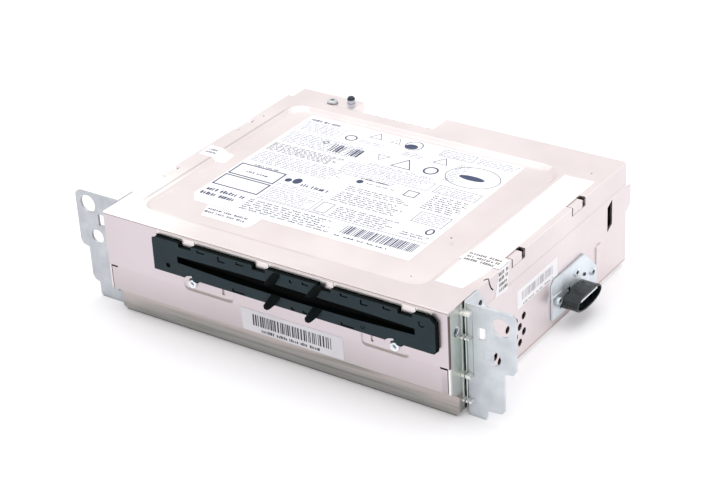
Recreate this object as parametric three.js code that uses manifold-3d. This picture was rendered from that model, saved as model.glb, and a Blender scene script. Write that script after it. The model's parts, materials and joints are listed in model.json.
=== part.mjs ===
// Car navigation radio with a slot-loading disc drive, in millimetres, +Z up.
// Shapes are drawn with the front panel's face at y = 0, the rear towards +Y, the underside at
// z = 0 and the middle of the case at x = 0, then moved so that the origin is the middle of the underside.
import * as THREE from 'three';
import { mergeVertices } from 'three/addons/utils/BufferGeometryUtils.js';
import Module from 'manifold-3d';

const wasm = await Module();
wasm.setup();

// Driving dimensions of the whole case
const caseWidth = 180;
const caseHeight = 53.5;
const caseDepth = 152.2;
const rearStep = 12.2;
const shortDepth = caseDepth - rearStep;
const rearStepX = -5.6;
const sheet = 1;
const seatGap = 0.1;
const fitGap = 0.3;
const overrun = 3;

// Places that follow the case's height, measured down from its top
const drops = {
  wall: 11.3, window: 3.3, disc: 14.1, driveTop: 5.9, innerTop: 2.5, earTop: 0.2, rearTop: 1.1,
};
const wallTop = caseHeight - drops.wall;
const windowTop = caseHeight - drops.window;
const windowHeight = 18.3;
const windowFoot = windowTop - windowHeight;

// The disc that the drive takes, and where it passes through the slot
const discFromRear = 64;
const disc = {
  diameter: 120, thickness: 1.2, middleX: 12.6, height: caseHeight - drops.disc,
  middleY: shortDepth - discFromRear, margin: 1.45,
};
const belowDisc = {
  deck: 10, motorFoot: 8.7, motorTop: 5.5, tableFoot: 5.1, sledFoot: 11.8, shoeFoot: 8.4, sledTop: 5.4,
  rail: 7,
  bearingTop: 1.8, loadMotor: 8.2, motorPlate: 3.4, lever: 2.5, frontWall: 10.9, slotFoot: 1.6,
};
const aboveDisc = { pivot: 2.8, armFoot: 4.2, lugFoot: 1.3, earTop: 5, finger: 1.6, slotTop: 1.7, eye: 5 };

// The lower chassis, a folded tray with an embossed floor and joggled side walls
const chassis = {
  bevel: 2.5, joggle: 1.3, joggleRise: 0.35, lipSetback: 6, lipTop: 10.4, lipBend: 1.6, apronShare: 0.547,
  cheekTop: 26.8, slotWidth: 4.6, slotHeight: 12.6, slotFromRear: 15.6, slotDrop: 10.2, slotSlant: 2.4,
  tongueLength: 4.6, tongueFootDrop: 11.4, tongueTopDrop: 2.2, tongueSlant: 3,
  ribGap: 1.3, ribWidth: 5, ribFoot: 6, ribTop: 24, ribProud: 0.5, stripEnd: 11.6, eyeDiameter: 4.6,
  eyeY: 5.8, eyeDrop: 0.5,
};

// The round air vents in the side wall, as steps of a half pitch from the last hole of the first row
const vent = { diameter: 3.6, halfPitchY: 3.4, halfPitchZ: 3.9, lastY: 59, firstZ: 9.9 };
const ventSteps = [[0, 3], [-2, 3], [-1, 2], [0, 1], [-2, 1], [-1, 0], [-4, 3], [-7, 1], [-6, 0], [-5, 2]];

// The front panel, its window for the bezel and its two screw pockets
const front = {
  foot: 14.6, shoulderInset: 1.4, notchReach: 3.4, notchHeight: 0.9,
  windowLeft: -62.2, windowRight: 85,
  cornerStep: 2.5, cornerRise: 2.4, footStep: 2.4, tabDrop: 1.9, tabWidth: 7,
  pocketDepth: 0.6, pocketDrop: 5.6, pocketLap: 0.4, pocketWall: 0.7,
  leftPocketStart: -46, leftPocketEnd: -20.3, rightPocketStart: 49, rightPocketEnd: 69.6,
};
const frontTabMiddles = [-41.6, -1.9, 31.3, 71.4];

// The black bezel round the disc slot
const bezel = {
  proud: 0.7, depth: 4.2, flange: 2, slotFoot: disc.height - belowDisc.slotFoot,
  slotTop: disc.height + aboveDisc.slotTop, funnel: 1.5, flareLeft: -19, flareRight: 19, flareFlatShare: 0.32,
  flareDrop: 1.9, flareRise: 1.1, slitLength: 3.8, slitHeight: 1.2, slitWidth: 0.7, slitDepth: 0.8,
  slitDrop: 3,
  slitRise: 1, finReach: 5, finWidth: 1.2, finRootDrop: 2, finHeadRise: 1.1, finCrownDrop: 1.8,
  finFootShare: 0.7,
  eyeX: 77.1, eyeDiameter: 1.6,
};
const bezelFins = [2.5, 23.6];
const upperSlits = [-37.3, -26.1, -16.1, 9.6, 18.4, 37.7, 47.7, 58.6];
const lowerSlits = [-19.4, 8.4, 14.4, 37.2];

// The dust strips behind the slot
const felt = { thickness: 1.1, height: 4.6, lap: 0.35, carrier: 1.4 };

// The two screws under the bezel
const screw = {
  headDiameter: 4.3, headHeight: 1.9, shank: 2.4, shankLength: 5, socket: 2.1, socketDepth: 1, domeShare: 0.7,
  lobeShare: 0.72,
};
const bezelScrewDrop = 2.5;
const bezelScrews = { left: -41.8, right: 63.7, height: windowFoot - bezelScrewDrop };

// The top cover: its recessed panel, side flanges and latches
const cover = {
  flangeRise: 0.5, recessLeft: -80, recessRight: 70, recessFront: 12, recessFromRear: 7,
  recessDepth: 1.6, recessSlope: 1.6, cornerRadius: 7, farCornerRadius: 11, lip: 0.9,
  latchHeight: 4.3, latchSide: 3.2, tongueInset: 0.15, tongueSheet: 0.7, tongueFrontGap: 1.1,
  tongueBackGap: 2.6,
};
const latches = [{ start: 49.6, length: 11.2 }, { start: 101.4, length: 12.2 }];
const leftLatches = [{ start: 40, length: 11.2 }, { start: 96, length: 12.2 }];

// The zinc mounting brackets at the front corners
const ear = {
  sheet: 1.2, setback: 10.5, bend: 0.5, top: caseHeight - drops.earTop, holeDiameter: 8.6,
  lowHoleDiameter: 7, windowWidth: 3.4, windowHeight: 5.8, windowDrop: 12.7, hookReach: 2.7, hookRun: 4.4,
  toothShare: 0.22, cornerRadius: 2.6, bendSteps: 2,
  legFoot: 0, legStepDrop: 33.3, legBulgeDrop: 26.3, legWaistDrop: 11.4, legHoleDiameter: 3, legHoleY: 22.1,
  legHoleDrop: 6.3, shoulderDrop: 28.5,
};
const earLeg = { low: 32, bulge: 33.6, waist: 28.6, apex: 21.3 };
const rightEar = {
  reach: 24.4, shoulderReach: 18.7, footReach: 10.3, step: 4.5, waist: 5.8,
  holeX: 17.8, holeDrop: 7.3, lowHoleX: 14, lowHoleDrop: 22.4, windowX: 9,
};
const leftEar = {
  reach: 26, shoulderReach: 21.4, footReach: 17.6, step: 7.3, waist: 9.8,
  holeX: 19, holeDrop: 5.7, lowHoleX: 15.4, lowHoleDrop: 21.8, windowX: 12,
};
const earHooks = [
  { drop: 4.6, height: 1.5, teeth: 1 }, { drop: 15.8, height: 0.9, teeth: 3 },
  { drop: 34, height: 1.5, teeth: 1 }, { drop: 45.7, height: 0.9, teeth: 3 },
];

// The zinc support bracket on the right wall, with its rubber sleeve
const support = {
  sheet: 1.2, fromRear: 70.4, length: 40.2, foot: 7.2, top: 26.6, noseRise: 18.4, noseStep: 2.6,
  shoulder: 28.8, tailTop: 15.4, holeDiameter: 2.6, collar: 0.9, collarProud: 0.7, slotDiameter: 2,
  tabStart: 11.2, tabLength: 15, tabHeight: 12.9, tabThickness: 0.9, tabReach: 7.8, bevelRun: 8,
  rimShare: 0.75,
};
const supportFront = caseDepth - support.fromRear;
const supportHoles = [{ along: 5.7, z: 14.3 }, { along: 21, z: 21 }, { along: 35.9, z: 14 }];
const supportSlots = [{ along: 27.8, z: 16.8 }, { along: 13.4, z: 16.6 }];
const sleeve = { length: 7.9, width: 23, height: 8.6, wall: 1, along: 18.7, middleZ: 11.5, sag: 0.86 };

// The rear panel and what it carries
const rear = {
  top: caseHeight - drops.rearTop, plugLeft: 18, plugRight: 62, plugFoot: 12, aerialDrop: 15, aerialPitch: 14,
  aerialGap: 4.5,
  aerialFirstX: 22, aerialSize: 9, aerialDepth: 9, plugDepth: 11, plugWall: 1.6, plugBack: 6, pinLength: 6,
  dataLeft: 70, dataWidth: 12, dataHeight: 8, dataFoot: 15, dataDepth: 13, dataWall: 1.2, grommet: 1,
  tongue: 2,
  contactRows: 2, contactColumns: 6,
};
const aerialCount = 3;
const aerialFoot = caseHeight - rear.aerialDrop;
const plugTop = aerialFoot - rear.aerialGap;

// The bracket, screw and stud at the rear left, and the heat sink beside them
const rearBracket = {
  left: -88.6, right: -53, height: 22.5, reach: 11.8, boltX: -66.6, boltBack: 4.6, boltBore: 2.6,
  boltHead: 5.6, boltHeadHeight: 1.4, boltLength: 7, studX: -58.4, studBack: 8.8, studDiameter: 4,
  studHeight: 3, studLength: 5,
  headShare: 0.8, capShare: 0.7, gussetSheets: 3,
};
const sink = {
  left: -50, right: -9, foot: 6, drop: 5.5, base: 3, depth: 10, finWidth: 1.4, finCount: 9,
};

// The main circuit board, its standoffs and its larger components, whose heights share the bay
// under the drive
const canShare = 0.325;
const tunerShare = 0.584;
const amplifierShare = 0.714;
const tabShare = 0.195;
const capacitorShare = 0.909;
const chokeShare = 0.584;
const board = {
  thickness: 1.6, height: 7, left: -84, right: 84, front: 9, fromRear: 3.2, screwInsetX: 5,
  screwFrontInset: 22,
  screwBackInset: 24, postDiameter: 5, hole: 2.6, screwLength: 5, screwHead: 4.4, screwHeadHeight: 1.2,
};
const boardBack = shortDepth - board.fromRear;
const driveHeight = 23.6;
const driveFoot = caseHeight - drops.driveTop - driveHeight;
const bay = driveFoot - board.height - board.thickness;
const shieldCan = {
  left: -38, right: 22, front: 40, back: 92, height: bay * canShare, wall: 0.6, vent: 2.4, pitch: 8,
};
const tuner = {
  left: 46, right: 72, length: 32, fromBack: 8.8, height: bay * tunerShare, lipInset: 1.5, lipHeight: 1,
};
const amplifier = {
  left: -44, right: -20, thickness: 5, tabThickness: 1.5, height: bay * amplifierShare, tabWidth: 14,
  tabRise: bay * tabShare,
};
const capacitor = {
  diameter: 12.5, height: bay * capacitorShare, firstX: -76, fromBack: 12.8, pitch: 14.6, bead: 0.5,
  beadHeight: 3,
};
const capacitorCount = 2;
const choke = { diameter: 16, height: bay * chokeShare, bore: 6, x: -72, fromBack: 38.8, bevel: 1.5 };

// The disc drive's frame and top plate
const driveFromRear = 1.6;
const drive = {
  left: -62, right: 84, front: 7, back: shortDepth - driveFromRear, foot: driveFoot,
  top: caseHeight - drops.driveTop, frontWall: disc.height - belowDisc.frontWall, postInsetX: 5,
  postInsetY: 6, postDiameter: 5.5, spigot: 2.4, spigotHeight: 1.4, sideRim: 26, frontRim: 33, backRim: 25,
  eyeRadius: 18, eyeSlot: 20,
};

// The sprung deck with its four dampers
const deckInset = 4.4;
const deck = {
  height: disc.height - belowDisc.deck, left: -59, right: 58, front: 24, back: drive.back - deckInset,
  thickness: 1.2, wellEnd: -1, pivotInset: 5,
};
const damper = {
  diameter: 9, waist: 6.4, insetX: 8, insetY: 9, bore: 2.4, stud: 1.8, lowShare: 0.25, highShare: 0.75,
  crownShare: 0.8,
};

// Spindle, clamp, pickup and its feed
const loadDrop = 2.4;
const spindle = {
  motorDiameter: 24, motorFoot: disc.height - belowDisc.motorFoot, motorTop: disc.height - belowDisc.motorTop,
  tableFoot: disc.height - belowDisc.tableFoot, tableDiameter: 28, boss: 14.6,
  bossHeight: 2, shaft: 2, shaftLength: 3, run: 0.2, rim: 1.2,
};
const puck = {
  clear: 0.4, diameter: 27, thickness: 1.7, recess: 16.4, recessDepth: 1.3, hub: 9, cap: 13, capHeight: 1,
};
const clampArm = {
  pivotHeight: disc.height + aboveDisc.pivot, spread: 36, armFoot: disc.height + aboveDisc.armFoot,
  thickness: 1, tongue: 20, nose: 18, lug: 1.2, lugDepth: 6, lugFoot: disc.height + aboveDisc.lugFoot,
  pin: 2.4, pinRun: 0.15,
  earTop: disc.height + aboveDisc.earTop, hubRun: 0.4, rib: 1.2, ribHeight: 1.2,
};
const sled = {
  start: 24, length: 18, width: 22.4, foot: disc.height - belowDisc.sledFoot,
  shoeFoot: disc.height - belowDisc.shoeFoot, top: disc.height - belowDisc.sledTop, shoeLength: 10, lens: 4.4,
  lensRise: 0.6,
  holder: 9, holderRise: 0.6, run: 0.2, nutWidth: 8, shoeWall: 1.3, wellGap: 0.5,
  lensShare: 0.85,
};
const rail = {
  diameter: 3, spread: 15.5, height: disc.height - belowDisc.rail, left: -58.8, right: 4, block: 3.6,
  blockWidth: 5,
};
const feedScrew = { diameter: 3, spread: 24, height: rail.height, left: -53, right: 7.5, journal: 1.8 };
const feedMotor = { diameter: 8, length: 14, clear: 0.6 };

// The loading roller with its gears and motor
const rollerInset = 4;
const rollerShort = 12;
const roller = {
  middleY: drive.front + rollerInset, radius: 4, flare: 0.3, length: disc.diameter - rollerShort, shaft: 2.4,
  shaftRun: 0.15, band: 18, bearingTop: disc.height - belowDisc.bearingTop, bearingDepth: 8.4,
  bearingGap: 3.6,
};
const gearRow = 10;
const gear = {
  module: 0.6, smallTeeth: 12, rollerTeeth: 18, largeTeeth: 28, pressureAngle: 20, slack: 0.12,
  addendumShare: 0.9, dedendumShare: 1.25, planeA: drive.right - gearRow, width: 3, gap: 0.6, bore: 0.12,
  hubDiameter: 4.6,
};
const planeB = gear.planeA + gear.width + gear.gap;
const shaftProud = 0.2;
const shaftEnd = gear.planeA + gear.width + shaftProud;
const bearingX = disc.middleX + roller.length / 2 + roller.bearingGap;
const stub = { diameter: 2.2, lead: 0.6 };
const motorClear = 0.3;
const loadMotor = {
  diameter: 12, length: 13.3, right: planeB - gear.width - motorClear,
  height: disc.height - belowDisc.loadMotor,
  shaft: 1.6, boss: 5, bossLength: 0.8, plateWidth: 12, plateTop: disc.height - belowDisc.motorPlate,
  shaftDepths: 4,
};

// The lever that senses a disc as it enters
const lever = {
  pivotX: -50, pivotY: 21, length: 16, restAngle: 62, width: 3, foot: disc.height - belowDisc.lever,
  thickness: 1.2, post: 3.6, pin: 1.8, pinRun: 0.15, pinRise: 0.4, hub: 4.4, finger: 1.6,
  fingerTop: disc.height + aboveDisc.finger,
};

// How finely round things are divided
const roundSteps = 24;
const smallSteps = 10;
const cornerSteps = 4;

// Materials
const steelSkin = new THREE.MeshStandardMaterial({ color: 0xe6dcdb, roughness: 0.42, metalness: 0.85 });
const steelInner = new THREE.MeshStandardMaterial({ color: 0xc9c6c2, roughness: 0.45, metalness: 0.85 });
const zinc = new THREE.MeshStandardMaterial({ color: 0xbcc4c9, roughness: 0.4, metalness: 0.9 });
const brightSteel = new THREE.MeshStandardMaterial({ color: 0xd4d8dc, roughness: 0.25, metalness: 1 });
const blackPlastic = new THREE.MeshStandardMaterial({ color: 0x2f373c, roughness: 0.55, metalness: 0 });
const greyPlastic = new THREE.MeshStandardMaterial({ color: 0x8b8f90, roughness: 0.6, metalness: 0 });
const paleNylon = new THREE.MeshStandardMaterial({ color: 0xe8e4d6, roughness: 0.5, metalness: 0 });
const blackRubber = new THREE.MeshStandardMaterial({ color: 0x23282b, roughness: 0.8, metalness: 0 });
const blackFelt = new THREE.MeshStandardMaterial({ color: 0x17191b, roughness: 1, metalness: 0 });
const aluminium = new THREE.MeshStandardMaterial({ color: 0xc6c8ca, roughness: 0.4, metalness: 0.9 });
const greenBoard = new THREE.MeshStandardMaterial({ color: 0x2d5a3c, roughness: 0.6, metalness: 0.1 });
const violetPlastic = new THREE.MeshStandardMaterial({ color: 0x5d4a86, roughness: 0.5, metalness: 0 });
const bluePlastic = new THREE.MeshStandardMaterial({ color: 0x2c5aa0, roughness: 0.5, metalness: 0 });
const clearLens = new THREE.MeshStandardMaterial({ color: 0x9db8d8, roughness: 0.05, metalness: 0 });

// Solids: every shape below is a manifold made from a three.js geometry
function solid(geometry) {
  geometry.deleteAttribute('normal');
  geometry.deleteAttribute('uv');
  const merged = mergeVertices(geometry, 1e-5);
  const mesh = new wasm.Mesh({
    numProp: 3,
    vertProperties: new Float32Array(merged.attributes.position.array),
    triVerts: new Uint32Array(merged.index.array),
  });
  return new wasm.Manifold(mesh);
}

function join(first, ...others) {
  return others.reduce((sum, next) => sum.add(next), first);
}

function cut(first, ...others) {
  return others.reduce((left, next) => left.subtract(next), first);
}

function block(x0, x1, y0, y1, z0, z1) {
  const geometry = new THREE.BoxGeometry(x1 - x0, y1 - y0, z1 - z0);
  geometry.translate((x0 + x1) / 2, (y0 + y1) / 2, (z0 + z1) / 2);
  return solid(geometry);
}

function extruded(points, depth) {
  const shape = new THREE.Shape(points.map(([a, b]) => new THREE.Vector2(a, b)));
  return new THREE.ExtrudeGeometry(shape, { depth, bevelEnabled: false });
}

// An outline of [x, y] points, run from z0 to z1
function plateZ(points, z0, z1) {
  const geometry = extruded(points, z1 - z0);
  geometry.translate(0, 0, z0);
  return solid(geometry);
}

// An outline of [x, z] points, run from y0 to y1
function plateY(points, y0, y1) {
  const geometry = extruded(points, y1 - y0);
  geometry.rotateX(Math.PI / 2);
  geometry.translate(0, y1, 0);
  return solid(geometry);
}

// An outline of [y, z] points, run from x0 to x1
function plateX(points, x0, x1) {
  const geometry = extruded(points, x1 - x0);
  geometry.rotateY(Math.PI / 2);
  geometry.rotateX(Math.PI / 2);
  geometry.translate(x0, 0, 0);
  return solid(geometry);
}

const turnToAxis = {
  x: (geometry) => geometry.rotateZ(-Math.PI / 2),
  y: (geometry) => geometry,
  z: (geometry) => geometry.rotateX(Math.PI / 2),
};

// A round bar or cone along an axis, from start over a length, centred at the given point
function bar(axis, radius, length, at, steps = roundSteps, endRadius = radius) {
  const geometry = new THREE.CylinderGeometry(endRadius, radius, length, steps);
  geometry.translate(0, length / 2, 0);
  turnToAxis[axis](geometry);
  geometry.translate(...at);
  return solid(geometry);
}

// A turned profile of [radius, height] points about a vertical axis
function turned(profile, at, steps = roundSteps) {
  const points = profile.map(([r, h]) => new THREE.Vector2(r, h));
  const geometry = new THREE.LatheGeometry(points, steps);
  geometry.rotateX(Math.PI / 2);
  geometry.translate(...at);
  return solid(geometry);
}

// A skin over rings of matching [x, y, z] points, closed by flat ends
function loft(rings) {
  const count = rings[0].length;
  const positions = rings.flat(2);
  const index = [];
  for (let ring = 0; ring + 1 < rings.length; ring += 1) {
    for (let i = 0; i < count; i += 1) {
      const next = (i + 1) % count;
      const a = ring * count + i;
      const b = ring * count + next;
      index.push(a, b, b + count, a, b + count, a + count);
    }
  }
  const last = (rings.length - 1) * count;
  for (let i = 1; i + 1 < count; i += 1) {
    index.push(0, i + 1, i);
    index.push(last, last + i, last + i + 1);
  }
  const geometry = new THREE.BufferGeometry();
  geometry.setAttribute('position', new THREE.Float32BufferAttribute(positions, 3));
  geometry.setIndex(index);
  const made = solid(geometry);
  return made;
}

// A rectangle with its own radius at each corner, anticlockwise from its near left corner
function roundedOutline(x0, x1, y0, y1, radii) {
  const corners = [[x0, y0, 1, 1], [x1, y0, -1, 1], [x1, y1, -1, -1], [x0, y1, 1, -1]];
  const points = [];
  corners.forEach(([x, y, sideX, sideY], corner) => {
    const radius = radii[corner];
    const start = Math.PI + corner * Math.PI / 2;
    for (let step = 0; step <= cornerSteps; step += 1) {
      const angle = start + (step / cornerSteps) * Math.PI / 2;
      points.push([
        x + sideX * radius + radius * Math.cos(angle),
        y + sideY * radius + radius * Math.sin(angle),
      ]);
    }
  });
  return points;
}

function ring(points, height) {
  return points.map(([a, b]) => [a, b, height]);
}

const product = new THREE.Group();

function add(name, made, material) {
  const mesh = made.translate([0, -caseDepth / 2, 0]).getMesh();
  const geometry = new THREE.BufferGeometry();
  geometry.setAttribute('position', new THREE.Float32BufferAttribute(mesh.vertProperties, 3));
  geometry.setIndex(new THREE.Uint32BufferAttribute(mesh.triVerts, 1));
  geometry.computeVertexNormals();
  const piece = new THREE.Mesh(geometry, material);
  piece.name = name;
  product.add(piece);
  return piece;
}

// Heights and places that several pieces share
const halfWidth = caseWidth / 2;
const innerTop = caseHeight - drops.innerTop;
const coverUnder = caseHeight - sheet;
const wallInner = halfWidth - sheet;
const joggleInner = wallInner - chassis.joggle;
const apronBack = sheet + seatGap + sheet;
const discUnder = disc.height - disc.thickness / 2;
const bezelBack = bezel.depth - bezel.proud;
const slotLeft = disc.middleX - disc.diameter / 2 - disc.margin;
const slotRight = disc.middleX + disc.diameter / 2 + disc.margin;

function boardScrewPlaces() {
  const places = [];
  for (const x of [board.left + board.screwInsetX, board.right - board.screwInsetX]) {
    for (const y of [board.front + board.screwFrontInset, boardBack - board.screwBackInset]) {
      places.push([x, y]);
    }
  }
  return places;
}

function drivePostPlaces() {
  const places = [];
  for (const x of [drive.left + drive.postInsetX, drive.right - drive.postInsetX]) {
    for (const y of [drive.front + drive.postInsetY, drive.back - drive.postInsetY]) {
      places.push([x, y]);
    }
  }
  return places;
}

// The cross-section of the tray, stepped in all round by an inset
function trayOutline(inset, top) {
  const wall = halfWidth - inset;
  const upper = wall - chassis.joggle;
  const corner = inset * (Math.SQRT2 - 1);
  const right = [
    [halfWidth - chassis.bevel - corner, inset],
    [wall, chassis.bevel + corner],
    [wall, wallTop - corner],
    [upper, wallTop + chassis.joggleRise - corner],
    [upper, top],
  ];
  const left = right.map(([x, z]) => [-x, z]).reverse();
  return [...right, ...left];
}

// The side view of the tray: recessed lip, sloping apron and upright flange behind the front panel
function traySide(inset, back, top) {
  const lip = chassis.lipSetback + inset;
  const face = sheet + seatGap + inset;
  return [
    [lip + chassis.lipBend, inset],
    [lip + chassis.lipBend * (1 - Math.SQRT1_2), inset + chassis.lipBend * (1 - Math.SQRT1_2)],
    [lip, inset + chassis.lipBend],
    [lip, chassis.lipTop + inset / 2],
    [face, front.foot - seatGap + inset / 2],
    [face, top],
    [back, top],
    [back, inset],
  ];
}

function makeChassis() {
  const outer = plateY(trayOutline(0, innerTop), 0, caseDepth)
    .intersect(plateX(traySide(0, caseDepth, innerTop), -halfWidth, halfWidth));
  const above = innerTop + overrun;
  const inner = plateY(trayOutline(sheet, above), 0, caseDepth + overrun)
    .intersect(plateX(traySide(sheet, caseDepth + overrun, above), -halfWidth, halfWidth));
  let tray = cut(outer, inner);
  // The apron ends behind the lower part of the front panel
  const pocketFoot = windowFoot - front.pocketDrop;
  const apronTop = front.foot + (pocketFoot - front.foot) * chassis.apronShare;
  tray = cut(tray, block(-joggleInner, joggleInner, 0, apronBack + sheet, apronTop, above));
  // The shorter left half of the rear
  tray = cut(tray, block(-halfWidth - overrun, rearStepX, shortDepth, caseDepth + overrun, -overrun, above));
  // Cheeks beside the lower part of the front panel
  for (const side of [-1, 1]) {
    const x0 = side > 0 ? wallInner : -halfWidth;
    tray = join(tray, block(x0, x0 + sheet, 0, apronBack, front.foot, chassis.cheekTop));
  }
  // In front of the cover's flanges the walls run straight up, and each has an eye
  const stripFoot = wallTop - sheet;
  for (const side of [-1, 1]) {
    const inner = side > 0 ? joggleInner - sheet : -wallInner;
    const outer = side > 0 ? wallInner : -halfWidth;
    const stripInner = inner + sheet + chassis.joggle;
    tray = cut(tray, block(inner, stripInner, apronBack, chassis.stripEnd, stripFoot, above));
    tray = join(tray, block(outer, outer + sheet, sheet + seatGap, chassis.stripEnd, stripFoot,
      coverUnder - seatGap));
    tray = cut(tray, bar('x', chassis.eyeDiameter / 2, sheet + overrun, [outer - overrun / 2, chassis.eyeY,
      wallTop - chassis.eyeDrop], smallSteps));
  }
  // Air vents in the right wall
  for (const [stepY, stepZ] of ventSteps) {
    const y = vent.lastY + stepY * vent.halfPitchY;
    const z = vent.firstZ + stepZ * vent.halfPitchZ;
    tray = cut(tray, bar('x', vent.diameter / 2, overrun + sheet, [wallInner - sheet, y, z], smallSteps));
  }
  // The rear locking slot with its slanting head and foot
  const slotMiddle = caseDepth - chassis.slotFromRear;
  const y0 = slotMiddle - chassis.slotWidth / 2;
  const y1 = slotMiddle + chassis.slotWidth / 2;
  const slotHeight = wallTop - chassis.slotDrop;
  const z0 = slotHeight - chassis.slotHeight / 2;
  const z1 = slotHeight + chassis.slotHeight / 2;
  const slot = [[y0, z0], [y1, z0 + chassis.slotSlant], [y1, z1 + chassis.slotSlant], [y0, z1]];
  tray = cut(tray, plateX(slot, wallInner - sheet, halfWidth + sheet));
  // The locking tongue that stands out at the rear of the right wall
  const tongueEnd = caseDepth + chassis.tongueLength;
  const tongueFoot = wallTop - chassis.tongueFootDrop;
  const tongueTop = wallTop - chassis.tongueTopDrop;
  const tongue = [
    [caseDepth - sheet, tongueFoot - chassis.tongueSlant], [caseDepth, tongueFoot - chassis.tongueSlant],
    [tongueEnd, tongueFoot], [tongueEnd, tongueTop], [caseDepth - sheet, tongueTop],
  ];
  tray = join(tray, plateX(tongue, wallInner, halfWidth));
  // Upright stiffening rib behind the support bracket
  const ribY = supportFront + support.length + chassis.ribGap;
  const rib = roundedOutline(ribY, ribY + chassis.ribWidth, chassis.ribFoot, chassis.ribTop,
    [sheet, sheet, sheet, sheet]);
  tray = join(tray, plateX(rib, wallInner, halfWidth + chassis.ribProud));
  // Standoffs for the circuit board, and taller posts with spigots for the disc drive
  for (const [x, y] of boardScrewPlaces()) {
    const postHeight = board.height - seatGap - sheet / 2;
    const post = bar('z', board.postDiameter / 2, postHeight, [x, y, sheet / 2], smallSteps);
    const hole = bar('z', board.hole / 2, board.height, [x, y, sheet], smallSteps);
    tray = join(tray, cut(post, hole));
  }
  for (const [x, y] of drivePostPlaces()) {
    tray = join(tray,
      bar('z', drive.postDiameter / 2, drive.foot - seatGap - sheet / 2, [x, y, sheet / 2], smallSteps),
      bar('z', drive.spigot / 2, drive.foot + drive.spigotHeight - sheet, [x, y, sheet], smallSteps));
  }
  add('lower_chassis', tray, steelSkin);
}

function frontOutline() {
  const low = halfWidth - front.shoulderInset;
  const top = coverUnder - seatGap;
  const notchTop = chassis.cheekTop + seatGap;
  const notchFoot = notchTop - front.notchHeight;
  const right = [
    [low, front.foot], [low, notchFoot], [low - front.notchReach, notchFoot],
    [low - front.notchReach, notchTop], [halfWidth, notchTop], [halfWidth, top],
  ];
  return [...right, ...right.map(([x, z]) => [-x, z]).reverse()];
}

// The bezel's outer outline, grown or shrunk by a margin, with or without notches for the panel's tabs
function bezelOutline(margin, notched) {
  const left = front.windowLeft + margin;
  const right = front.windowRight - margin;
  const foot = windowFoot + margin;
  const top = windowTop - margin;
  const points = [
    [left, foot], [right - front.footStep, foot], [right, foot + front.footStep],
    [right, top - front.cornerStep], [right - front.cornerStep, top],
  ];
  if (notched) {
    for (const middle of [...frontTabMiddles].reverse()) {
      const half = front.tabWidth / 2 + margin;
      const drop = top - front.tabDrop;
      points.push([middle + half, top], [middle + half, drop], [middle - half, drop], [middle - half, top]);
    }
  }
  points.push([left + front.cornerStep, top], [left + front.cornerStep, top - front.cornerRise]);
  points.push([left, top - front.cornerRise]);
  return points;
}

function makeFrontPanel() {
  let panel = plateY(frontOutline(), 0, sheet);
  panel = cut(panel, plateY(bezelOutline(0, true), -overrun, sheet + overrun));
  // A shallow pocket round each screw, with a floor pressed back from the face
  const pocketFoot = windowFoot - front.pocketDrop;
  const pocketTop = windowFoot + front.pocketLap;
  const pockets = [
    [front.leftPocketStart, front.leftPocketEnd, bezelScrews.left],
    [front.rightPocketStart, front.rightPocketEnd, bezelScrews.right],
  ];
  for (const [start, end, screwX] of pockets) {
    const radius = (pocketTop - pocketFoot) / 2;
    const outline = roundedOutline(start, end, pocketFoot, pocketTop,
      [radius, radius / 2, radius / 2, radius / 2]);
    const inside = roundedOutline(start + front.pocketWall, end - front.pocketWall,
      pocketFoot + front.pocketWall, pocketTop,
      [radius - front.pocketWall, radius / 4, radius / 4, radius / 4]);
    const mouth = outline.map(([x, z]) => [x, -seatGap, z]);
    const floor = inside.map(([x, z]) => [x, front.pocketDepth, z]);
    panel = cut(panel, loft([mouth, floor].map((points) => points.slice().reverse())));
    const hole = screw.shank / 2 + fitGap;
    panel = cut(panel, bar('y', hole, overrun * 2, [screwX, -overrun, bezelScrews.height], smallSteps));
  }
  add('front_panel', panel, steelSkin);
}

// The slot's outline, with a flat-bottomed flare in its middle
function slotOutline(grow) {
  const left = slotLeft - grow;
  const right = slotRight + grow;
  const foot = bezel.slotFoot - grow;
  const top = bezel.slotTop + grow;
  const flat = bezel.flareFlatShare;
  const innerLeft = bezel.flareLeft * flat;
  const innerRight = bezel.flareRight * flat;
  return [
    [left, foot], [bezel.flareLeft, foot], [innerLeft, foot - bezel.flareDrop],
    [innerRight, foot - bezel.flareDrop], [bezel.flareRight, foot], [right, foot],
    [right, top], [bezel.flareRight, top], [innerRight, top + bezel.flareRise],
    [innerLeft, top + bezel.flareRise], [bezel.flareLeft, top], [left, top],
  ];
}

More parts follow.
